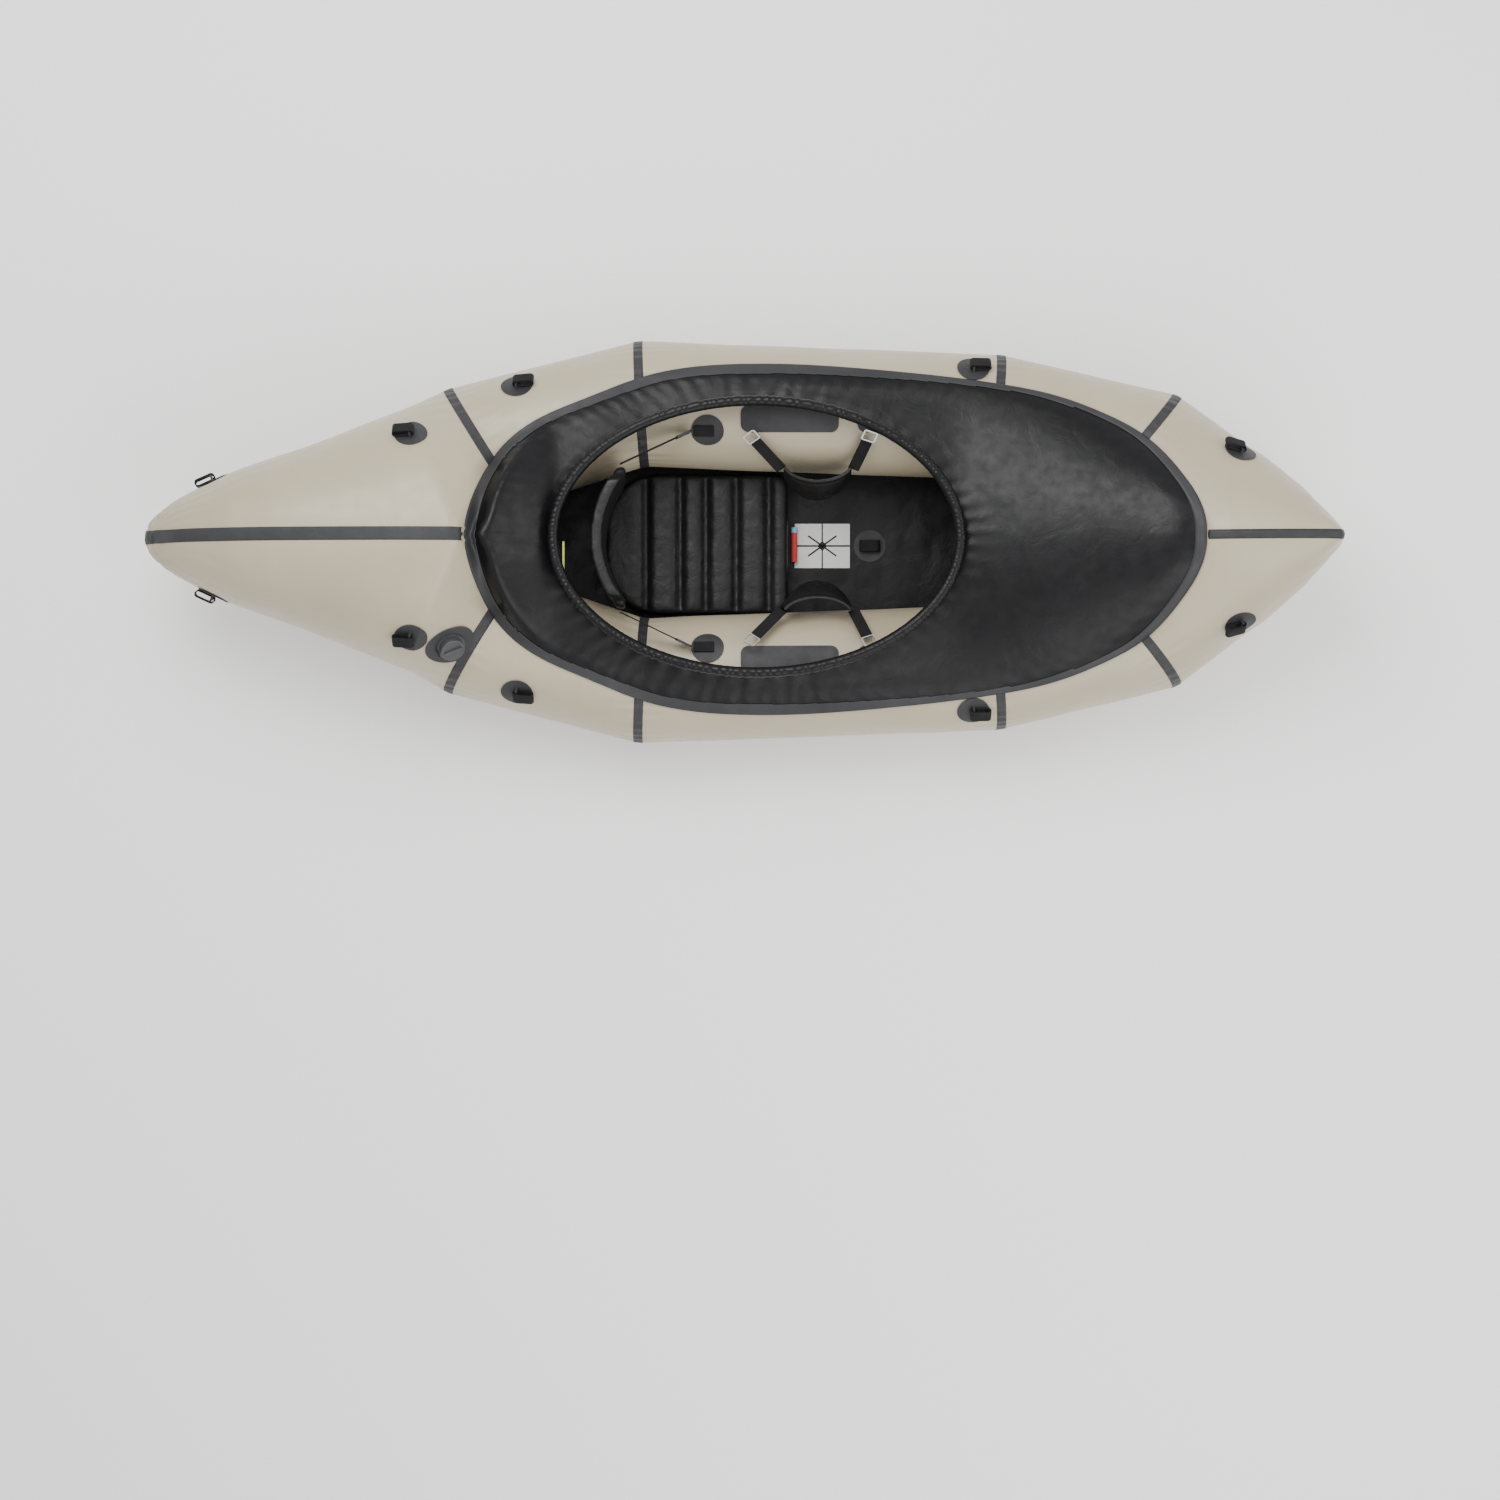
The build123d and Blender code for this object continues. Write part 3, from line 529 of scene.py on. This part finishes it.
    def lay(self, bm: bmesh.types.BMesh, name: str, nodes: list[str]) -> None:
        """Make a tape of a cut-out of the hull's skin."""
        bm.normal_update()
        obj = self.shop.piece(name, bm, TAPE, "seam_tape", "hull", nodes)
        thicken(obj, 0.0011, 1.0)

    def crease(self, bm: bmesh.types.BMesh) -> None:
        """Draw puckers along the seams and small creases at the ends."""
        seams = self.seams()
        bm.normal_update()
        tip_x = CAD_BOX[0][0]
        for v in bm.verts:
            p = v.co
            depth = 0.0005
            for seam in seams:
                d = abs(seam.distance(p))
                if d > 3 * self.pucker_reach:
                    continue
                angle = seam.angle(p)
                drift = 2.6 * noise.noise(Vector((angle * 2.1, seam.x * 9, 1.0)))
                ripple = 0.5 + 0.5 * math.sin(angle * self.puckers_around + drift)
                calm = 0.35 + 0.65 * abs(noise.noise(Vector((angle * 1.3, seam.x * 5, p.y * 3))))
                fade = math.exp(-((d / self.pucker_reach) ** 1.3))
                depth += self.pucker_depth * fade * (0.25 + ripple * calm * 1.6)
            from_tip = p.x - tip_x
            if from_tip < 0.45:
                around = math.atan2(p.z - 0.3, p.y)
                ripple = 0.5 + 0.5 * math.sin(around * 26 + 9 * noise.noise(p * 6))
                depth += 0.0035 * ripple * math.exp(-((from_tip / 0.16) ** 1.4))
            bow = CAD_BOX[1][0] - p.x
            if bow < 0.4:
                ripple = 0.5 + 0.5 * math.sin(p.z * 150 + 7 * noise.noise(p * 7))
                depth += 0.0025 * ripple * math.exp(-((bow / 0.10) ** 1.4))
            depth += 0.0012 * (0.5 + noise.noise(p * 9))
            v.co = p - v.normal * depth

    def part(self, skin: bmesh.types.BMesh, seams: list[Seam]) -> None:
        """Part the skin at its seams into panels and make a piece of each."""
        cells: dict[str, list[int]] = {}
        names = ("stern", "rear_quarter", "side_tube", "front_quarter", "bow")
        for face in skin.faces:
            c = face.calc_center_median()
            ahead = sum(1 for seam in seams if seam.distance(c) > 0)
            name = names[ahead]
            if 0 < ahead < 4:
                name += "_port" if c.y > 0 else "_starboard"
            cells.setdefault(name, []).append(face.index)
        for name, faces in sorted(cells.items()):
            keep = set(faces)
            bm = skin.copy()
            bm.faces.ensure_lookup_table()
            drop = [f for f in bm.faces if f.index not in keep]
            bmesh.ops.delete(bm, geom=drop, context="FACES")
            if name in ("stern", "bow"):
                nodes = [f"{name}_port", f"{name}_starboard"]
            else:
                nodes = [name]
            self.shop.piece(f"hull_{name}", bm, TAN, "hull_fabric", "hull", nodes)
        skin.free()


def ray_tree(bm: bmesh.types.BMesh) -> BVHTree:
    """Return a tree for casting rays at a bmesh."""
    return BVHTree.FromBMesh(bm)


def top_at(tree: BVHTree, x: float, y: float) -> Optional[float]:
    """Return the height of a mesh's top at a place, or None past its edge."""
    hit = tree.ray_cast(Vector((x, y, 1.0)), Vector((0, 0, -1)))[0]
    return hit.z if hit is not None else None


def bent_grid(
    columns: int,
    rows: int,
    place: Callable[[float, float], Vector],
    close_columns: bool = False,
    close_rows: bool = False,
) -> bmesh.types.BMesh:
    """Bend a flat grid into a surface.

    Args:
        columns: cells along u.
        rows: cells along v.
        place: gives the point for u and v, each from 0 to 1.
        close_columns: whether u = 1 is welded to u = 0.
        close_rows: whether v = 1 is welded to v = 0.
    """
    bm = bmesh.new()
    bmesh.ops.create_grid(bm, x_segments=columns, y_segments=rows, size=0.5)
    for v in bm.verts:
        v.co = place(v.co.x + 0.5, v.co.y + 0.5)
    if close_columns or close_rows:
        bmesh.ops.remove_doubles(bm, verts=bm.verts, dist=2e-5)
    bmesh.ops.recalc_face_normals(bm, faces=bm.faces)
    return bm


def area_of(bm: bmesh.types.BMesh) -> float:
    """Return the area of a mesh's faces."""
    return sum(face.calc_area() for face in bm.faces)


def thicken(obj: bpy.types.Object, thickness: float, offset: float = -1.0) -> None:
    """Give a sheet its thickness."""
    mod = obj.modifiers.new("Thickness", "SOLIDIFY")
    mod.thickness = thickness
    mod.offset = offset


@dataclass
class Cockpit:
    """The coaming's oval, read from the frame."""

    shop: Workshop

    def __post_init__(self) -> None:
        """Measure the hoop: its middle, half-axes and pitch."""
        low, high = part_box("coaming_hoop")
        bar = 0.006
        self.x = (low[0] + high[0]) / 2
        self.a = (high[0] - low[0]) / 2 - bar
        self.b = (high[1] - low[1]) / 2 - bar
        self.z = (low[2] + high[2]) / 2
        self.rise = (high[2] - low[2]) / 2 - bar

    def oval(self, angle: float, grow: float = 0.0) -> Vector:
        """Return the point of the hoop's middle line at an angle, moved outwards."""
        across = Vector((math.cos(angle) / self.a, math.sin(angle) / self.b, 0)).normalized()
        point = Vector((self.x + self.a * math.cos(angle), self.b * math.sin(angle), 0))
        point += across * grow
        point.z = self.z - self.rise * (point.x - self.x) / self.a
        return point

    def angle_of(self, p: Vector) -> float:
        """Return the oval's angle whose spoke from the middle runs through a point."""
        return math.atan2(p.y / self.b, (p.x - self.x) / self.a) % (2 * math.pi)


@dataclass
class Deck:
    """The black spray deck, its taped rim and its coaming.

    Attributes:
        shop: makes the pieces.
        cockpit: the coaming's oval.
        hull: the creased hull that the sheet lies on.
        around: steps round the oval.
        rings: steps from the oval to the outline.
        fabric: the sheet's thickness.
        clear: how far the sheet stays above the hull.
        bond: width of the edge that is drawn down to the hull.
        deepest_bond: how far the edge may be drawn down.
        lowest_tube: hull below this height isn't the tube under the edge.
        inset: how far the sheet stops short of the oval and the outline.
        settle_rounds: how often the sheet is relaxed.
        rim_width: width of the tape over the sheet's edge.
        farthest: no part of the outline is further from the oval.
        pleats_around: pleats beside the coaming.
        ripples_around: ripples beside the tape.
    """

    shop: Workshop
    cockpit: Cockpit
    hull: Hull
    around: int = 420
    rings: int = 64
    fabric: float = 0.0012
    clear: float = 0.0024
    bond: float = 0.05
    deepest_bond: float = 0.15
    lowest_tube: float = 0.2
    inset: float = 0.0012
    settle_rounds: int = 40
    rim_width: float = 0.024
    farthest: float = 1.2
    pleats_around: float = 58
    ripples_around: float = 96

    def tube_top(self, x: float, y: float) -> float:
        """Return the lowest height that clears the hull at a place."""
        top = top_at(self.hull.tree, x, y)
        return top + self.clear if top is not None else 0.0

    def reach(self, tree: BVHTree, angle: float) -> float:
        """Return how far the deck runs out from the oval at an angle."""
        start = self.cockpit.oval(angle)
        way = Vector((start.x - self.cockpit.x, start.y, 0)).normalized()
        near = self.farthest
        step = 0.01
        while near > step:
            p = start + way * near
            if top_at(tree, p.x, p.y) is not None:
                break
            near -= step
        for _ in range(8):
            step /= 2
            p = start + way * (near + step)
            if top_at(tree, p.x, p.y) is not None:
                near += step
        return near

    def build(self) -> None:
        """Make the deck, the riser and the sleeve."""
        self.sheet()
        self.riser()
        self.sleeve()

    def sheet(self) -> None:
        """Stretch the deck's sheet from the oval to its outline, with creases at both."""
        cad = self.shop.node_bmesh("deck")
        tree = ray_tree(cad)
        cockpit = self.cockpit
        reaches = [self.reach(tree, 2 * math.pi * i / self.around) for i in range(self.around)]

        def place(u: float, v: float) -> Vector:
            """Return a point of the smooth sheet, its edge drawn down to the hull."""
            angle = 2 * math.pi * u
            run = reaches[round(u * self.around) % self.around]
            start = cockpit.oval(angle)
            way = Vector((start.x - cockpit.x, start.y, 0)).normalized()
            p = start + way * (self.inset + (run - 2 * self.inset) * v)
            z = top_at(tree, p.x, p.y) or 0.0
            tube = self.tube_top(p.x, p.y)
            if tube > self.lowest_tube:
                share = min(1.0, run * (1 - v) / self.bond)
                z += (max(tube, z - self.deepest_bond) - z) * (1 - share * share * (3 - 2 * share))
            return Vector((p.x, p.y, max(z, tube)))

        def crease(p: Vector) -> Vector:
            """Return a point of the stretched sheet, lifted by its creases."""
            angle = cockpit.angle_of(p)
            index = round(angle / (2 * math.pi) * self.around) % self.around
            run = reaches[index]
            start = cockpit.oval(angle)
            along = math.hypot(p.x - start.x, p.y - start.y)
            left = max(0.0, run - along)
            lift = 0.0
            drift = noise.noise(Vector((p.x * 5, p.y * 5, 2)))
            pleat = 0.5 + 0.5 * math.sin(angle * self.pleats_around + 3.5 * drift)
            lift += 0.0022 * pleat * math.exp(-along / 0.03) * min(1, along / 0.008)
            drift = noise.noise(Vector((p.x * 7, p.y * 7, 5)))
            ripple = 0.5 + 0.5 * math.sin(angle * self.ripples_around + 5 * drift)
            off_tape = math.exp(-max(left - self.rim_width, 0) / 0.03) * min(1, max(left - 0.022, 0) / 0.01)
            lift += 0.0016 * ripple * off_tape
            soft = noise.noise(Vector((p.x * 3.2, p.y * 3.2, 0))) + 0.22 * noise.noise(p * 9)
            lift += 0.0020 * (0.5 + soft) * min(1, left / 0.05) * min(1, along / 0.03)
            return Vector((p.x, p.y, max(p.z + lift, self.tube_top(p.x, p.y))))

        bm = bent_grid(self.around, self.rings, place, close_columns=True)
        inside = [v for v in bm.verts if not v.is_boundary]
        for _ in range(self.settle_rounds):
            bmesh.ops.smooth_vert(
                bm, verts=inside, factor=0.5, use_axis_x=False, use_axis_y=False, use_axis_z=True,
            )
        for v in bm.verts:
            v.co = crease(v.co)
        bmesh.ops.recalc_face_normals(bm, faces=bm.faces)
        area = area_of(bm)
        cad.free()
        self.rim(bm.copy(), reaches)
        obj = self.shop.piece("spray_deck", bm, BLACK, "deck_fabric", "hull", ["deck"])
        thicken(obj, self.fabric)

    def rim(self, bm: bmesh.types.BMesh, reaches: list[float]) -> None:
        """Lay the welded tape over the sheet's edge.

        Args:
            bm: a copy of the creased sheet.
            reaches: how far the sheet runs out at each step round the oval.
        """
        far = []
        for face in bm.faces:
            c = face.calc_center_median()
            angle = self.cockpit.angle_of(c)
            start = self.cockpit.oval(angle)
            run = reaches[round(angle / (2 * math.pi) * self.around) % self.around]
            if run - math.hypot(c.x - start.x, c.y - start.y) > self.rim_width:
                far.append(face)
        bmesh.ops.delete(bm, geom=far, context="FACES")
        bm.normal_update()
        for v in bm.verts:
            v.co += v.normal * 0.0006
        obj = self.shop.piece("deck_rim_tape_laid", bm, TAPE, "seam_tape", "hull", ["deck_rim_tape"])
        thicken(obj, 0.0008, 1.0)

    def riser(self) -> None:
        """Stand the crinkled wall between the deck and the sleeve."""
        cad = self.shop.node_bmesh("coaming_riser")
        tree = ray_tree(cad)
        cockpit = self.cockpit

        def place(u: float, v: float) -> Vector:
            angle = 2 * math.pi * u
            top = cockpit.oval(angle)
            up = tree.ray_cast(Vector((top.x, top.y, 0.1)), Vector((0, 0, 1)))
            foot = up[0].z if up[0] is not None else top.z - 0.05
            head = top.z - 0.006
            t = v
            pleat = math.sin(angle * 64 + 5 * noise.noise(Vector((top.x * 6, top.y * 6, 1))))
            belly = math.sin(math.pi * t) * (0.0022 * pleat + 0.0025)
            p = cockpit.oval(angle, belly)
            return Vector((p.x, p.y, foot + (head - foot) * t))

        bm = bent_grid(420, 10, place, close_columns=True)
        area = area_of(bm)
        cad.free()
        obj = self.shop.piece("coaming_wall", bm, BLACK, "deck_fabric", "hull", ["coaming_riser"])
        thicken(obj, self.fabric, 0.0)

    def sleeve(self) -> None:
        """Gather the sleeve round the hoop, with its crinkles and a sewn edge below."""
        cockpit = self.cockpit
        low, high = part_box("coaming_sleeve")
        radius = (high[0] - low[0]) / 2 - cockpit.a

        def place(u: float, v: float) -> Vector:
            angle = 2 * math.pi * u
            round_bar = 2 * math.pi * v
            gather = noise.noise(Vector((math.cos(angle) * 16, math.sin(angle) * 16, 3)))
            crinkle = math.sin(angle * 170 + 9 * gather + 1.2 * math.sin(round_bar))
            r = radius - 0.0012 + 0.0011 * crinkle * (0.6 + 0.4 * math.cos(round_bar))
            flat = 1.0 - 0.25 * max(0.0, -math.sin(round_bar)) ** 3
            p = cockpit.oval(angle, r * math.cos(round_bar))
            return p + Vector((0, 0, r * flat * math.sin(round_bar)))

        bm = bent_grid(900, 20, place, True, True)
        self.shop.piece("coaming_sleeve_gathered", bm, BLACK, "deck_fabric", "hull", ["coaming_sleeve"])


@dataclass
class Floor:
    """The floor sheet, welded under the tubes and a little slack between them."""

    shop: Workshop
    slack: float = 0.0022

    def build(self) -> None:
        """Lay an even sheet over the CAD floor, with soft wrinkles."""
        cad = self.shop.node_bmesh("floor")
        tree = ray_tree(cad)
        low, high = (Vector(c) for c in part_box("floor"))
        columns = 300

        def half_at(x: float) -> float:
            """Return the floor's half-width at a station."""
            inside, outside = 0.0, high.y + 0.01
            for _ in range(14):
                y = (inside + outside) / 2
                found = top_at(tree, x, y) is not None
                inside, outside = (y, outside) if found else (inside, y)
            return inside

        halves: dict[int, float] = {}

        def place(u: float, v: float) -> Vector:
            """Return a point of the sheet's top."""
            station = round(u * columns)
            x = low.x + 0.0015 + (high.x - low.x - 0.003) * u
            if station not in halves:
                halves[station] = half_at(x) - 0.001
            y = halves[station] * (2 * v - 1)
            z = top_at(tree, x, y) or 0.0
            inner = max(0.0, 1 - abs(y) / 0.16)
            soft = noise.noise(Vector((x * 7, y * 7, 0))) + 0.6 * noise.noise(Vector((x * 19, y * 15, 4)))
            return Vector((x, y, z + self.slack * abs(soft) * min(1, 3 * inner)))

        bm = bent_grid(columns, 90, place)
        area = area_of(bm)
        cad.free()
        obj = self.shop.piece("floor_sheet", bm, BLACK, "deck_fabric", "hull", ["floor"])
        thicken(obj, 0.0018)


@dataclass
class Pads:
    """The seat cushion, the backrest and the thigh pads."""

    shop: Workshop
    voxel: float = 0.005
    pad_lean: float = 0.020

    def build(self) -> None:
        """Make each pad from its CAD shape."""
        self.seat()
        self.backrest()
        for side in ("port", "starboard"):
            self.thigh_pad(side)

    def seat(self) -> None:
        """Blow up the cushion between its cross seams."""
        bm = remeshed(self.shop.node_bmesh("seat_cushion"), self.voxel)
        smooth(bm, 8)
        low, high = (Vector(c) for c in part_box("seat_cushion"))
        length = high.x - low.x
        seams = [low.x + length * share for share in (0.23, 0.415, 0.555, 0.72, 0.895)]
        bm.normal_update()
        for v in bm.verts:
            p = v.co
            groove = max(math.exp(-((abs(p.x - x) / 0.0085) ** 1.5)) for x in seams)
            side = min(p.y - low.y, high.y - p.y) / (high.y - low.y)
            ends = min(1.0, side / 0.05)
            top = max(0.0, (p.z - low.z) / (high.z - low.z))
            pull = 0.017 * groove * (0.35 + 0.65 * ends) * top
            wrinkle = 0.0016 * noise.noise(Vector((p.x * 26, p.y * 9, p.z * 12)))
            from_seam = min(abs(p.x - x) for x in seams)
            pinch = 0.0018 * math.sin(p.y * 160 + 5 * noise.noise(p * 12)) * math.exp(-from_seam / 0.022)
            p.z -= pull + (wrinkle + pinch * 0.5) * top
            sides = 1 - 0.018 * groove
            p.y *= sides
        smooth(bm, 1)
        obj = self.shop.piece("seat_cushion_padded", bm, PAD, "pad_fabric", "hull", ["seat_cushion"])

    def backrest(self) -> None:
        """Pad the backrest and press a bound edge round it."""
        bm = remeshed(self.shop.node_bmesh("backrest"), 0.004)
        smooth(bm, 6)
        low, high = (Vector(c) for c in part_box("backrest"))
        middle = (low.y + high.y) / 2
        half = (high.y - low.y) / 2
        bm.normal_update()
        for v in bm.verts:
            p = v.co
            edge = min(high.z - p.z, half - abs(p.y - middle), p.z - low.z)
            groove = math.exp(-(((edge - 0.014) / 0.0045) ** 2))
            crown = 0.5 * min(1.0, max(0.0, edge) / 0.05)
            p -= v.normal * (0.0030 * groove - 0.0022 * crown)
            p += v.normal * 0.0012 * noise.noise(p * 22)
        obj = self.shop.piece("backrest_padded", bm, PAD, "pad_fabric", "backrest", ["backrest"])

    def thigh_pad(self, side: str) -> None:
        """Round a thigh pad and press its bound edge."""
        node = f"thigh_pad_{side}"
        bm = remeshed(self.shop.node_bmesh(node), 0.0025)
        smooth(bm, 4)
        low, high = (Vector(c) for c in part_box(node))
        bm.normal_update()
        outboard = 1 if side == "port" else -1
        middle = (low + high) / 2
        for v in bm.verts:
            p = v.co
            edge = min(high.z - p.z, p.z - low.z, p.x - low.x, high.x - p.x)
            groove = math.exp(-(((edge - 0.009) / 0.003) ** 2))
            p -= v.normal * 0.0016 * groove
            along = (p.x - middle.x) / (high.x - middle.x)
            lean = self.pad_lean * (p.z - middle.z) / (high.z - middle.z) * (1 - 0.7 * along * along)
            p.y += outboard * lean
            p.z -= 0.25 * abs(lean)
        obj = self.shop.piece(f"{node}_padded", bm, PAD, "pad_fabric", f"thigh_strap_{side}", [node])


@dataclass
class Webbing:
    """Straps, loops and tabs of woven webbing, made of their CAD shapes."""

    shop: Workshop

    def build(self) -> None:
        """Dress every webbing node as its own bevelled, finely cut strip."""
        bodies = frame["record"]["behaviour"]["bodies"]
        home = {node: body for body, nodes in bodies.items() for node in nodes}
        for part in frame["record"]["subparts"]:
            node = part["node"]
            if part["material_slot"] != "webbing" or node == "valve_tether":
                continue
            bm = self.shop.node_bmesh(node)
            bmesh.ops.dissolve_limit(bm, angle_limit=0.02, verts=bm.verts, edges=bm.edges)
            sharp = [e for e in bm.edges if e.is_manifold and e.calc_face_angle(0) > 0.7]
            bmesh.ops.bevel(
                bm, geom=sharp, offset=0.0007, affect="EDGES", segments=2, profile=0.5, material=-1,
            )
            if node.startswith("backrest_strap"):
                for _ in range(3):
                    long_edges = [e for e in bm.edges if e.calc_length() > 0.02]
                    bmesh.ops.subdivide_edges(bm, edges=long_edges, cuts=1)
            bmesh.ops.triangulate(bm, faces=bm.faces)
            bends = node.startswith("backrest_strap")
            body = None if bends else home[node]
            strap = self.shop.piece(f"{node}_woven", bm, WEBBING, "webbing", body, [node], smooth=False)
            if bends:
                self.bend(strap, node)

    @staticmethod
    def bend(strap: bpy.types.Object, node: str) -> None:
        """Bake a backrest strap's placement into its mesh; the strap follows neither the tube nor the
        backrest.
        """
        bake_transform(strap)


@dataclass
class Cards:
    """Two blank folded cards on the floor, held by a black elastic cross."""

    shop: Workshop
    gap: float = 0.003
    notch: float = 0.010
    card: float = 0.0014
    hem: float = 0.001
    spread: float = 0.62

    def build(self) -> None:
        """Make the two cards and the elastic over them."""
        low, high = (Vector(c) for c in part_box("care_cards"))
        middle = (low + high) / 2
        halves = bmesh.new()
        for side in (-1, 1):
            near = middle.x + side * self.gap / 2
            far = high.x - self.hem if side > 0 else low.x + self.hem
            bottom, top = low.y + self.hem, high.y - self.hem
            outline = [
                (near, bottom),
                (far, bottom),
                (far, top),
                (near, top),
                (near, middle.y + self.notch),
                (near + side * self.notch, middle.y),
                (near, middle.y - self.notch),
            ]
            verts = [halves.verts.new((x, y, low.z + 0.0008)) for x, y in outline]
            sheet = halves.faces.new(verts)
            raised = bmesh.ops.extrude_face_region(halves, geom=[sheet])["geom"]
            lifted = [e for e in raised if isinstance(e, bmesh.types.BMVert)]
            bmesh.ops.translate(halves, verts=lifted, vec=(0, 0, self.card))
        bmesh.ops.recalc_face_normals(halves, faces=halves.faces)
        self.shop.piece("care_cards_folded", halves, CARD, "card", "hull", ["care_cards"], smooth=False)
        cross = bmesh.new()
        for turn in (0.0, self.spread, -self.spread):
            length = (high.x - low.x) * (0.98 if turn == 0.0 else 0.62)
            spin = Matrix.Rotation(turn, 4, "Z")
            place = Matrix.Translation((middle.x, middle.y, low.z + 0.0029 + 0.0002 * abs(turn)))
            size = Matrix.Diagonal((length, 0.0032, 0.0010, 1))
            bmesh.ops.create_cube(cross, size=1.0, matrix=place @ spin @ size)
        self.shop.piece("care_card_elastic", cross, WEBBING, "webbing", "hull", ["care_cards"], smooth=False)


@dataclass
class Studio:
    """A plain pale floor, soft light from above and the camera."""

    lens: float = 85.0
    sensor: float = 36.0
    frame_width: float = 3.24
    aim: tuple[float, float] = (0.020, -0.452)

    def build(self) -> None:
        """Make the floor, the lights, the world and the camera."""
        bm = bmesh.new()
        bmesh.ops.create_grid(bm, x_segments=2, y_segments=2, size=14.0)
        mesh = bpy.data.meshes.new("studio_floor")
        bm.to_mesh(mesh)
        bm.free()
        floor = bpy.data.objects.new("studio_floor", mesh)
        bpy.context.scene.collection.objects.link(floor)
        floor.location.z = CAD_BOX[0][2] - 0.0005
        mat = bpy.data.materials.new("studio_floor")
        mat.use_nodes = True
        shader = mat.node_tree.nodes["Principled BSDF"]
        shader.inputs["Base Color"].default_value = (0.93, 0.93, 0.93, 1)
        shader.inputs["Roughness"].default_value = 0.8
        mesh.materials.append(mat)
        self.light("soft_key", (-0.9, 1.8, 3.6), (0.1, 0, 0), 2.6, 150)
        self.light("soft_fill", (1.6, -2.6, 3.0), (0, 0, 0), 3.4, 90)
        self.light("soft_bow", (3.4, 0.4, 2.2), (0.3, 0, 0.2), 2.0, 35)
        world = bpy.data.worlds.new("studio")
        world.use_nodes = True
        back = world.node_tree.nodes["Background"]
        back.inputs["Color"].default_value = (1, 1, 1, 1)
        back.inputs["Strength"].default_value = 1.0
        bpy.context.scene.world = world
        cam = bpy.data.cameras.new("camera")
        cam.lens = self.lens
        cam.sensor_width = self.sensor
        cam.clip_end = 60
        obj = bpy.data.objects.new("camera", cam)
        bpy.context.scene.collection.objects.link(obj)
        distance = self.frame_width * self.lens / self.sensor
        obj.location = (self.aim[0], self.aim[1], distance + 0.2)
        bpy.context.scene.camera = obj

    def light(self, name: str, place: tuple, aim: tuple, size: float, power: float) -> None:
        """Add a square area light that faces a point."""
        data = bpy.data.lights.new(name, "AREA")
        data.size = size
        data.energy = power
        obj = bpy.data.objects.new(name, data)
        bpy.context.scene.collection.objects.link(obj)
        obj.location = place
        obj.rotation_euler = (Vector(aim) - Vector(place)).to_track_quat("-Z", "Y").to_euler()


def main() -> None:
    """Build every piece in order."""
    logging.basicConfig(level=logging.INFO)
    random.seed(7)
    Studio().build()
    shop = Workshop()
    shop.dress_frame()
    hull = Hull(shop)
    hull.build()
    Deck(shop, Cockpit(shop), hull).build()
    Floor(shop).build()
    Pads(shop).build()
    Webbing(shop).build()
    Cards(shop).build()


if __name__ == "__main__":
    main()
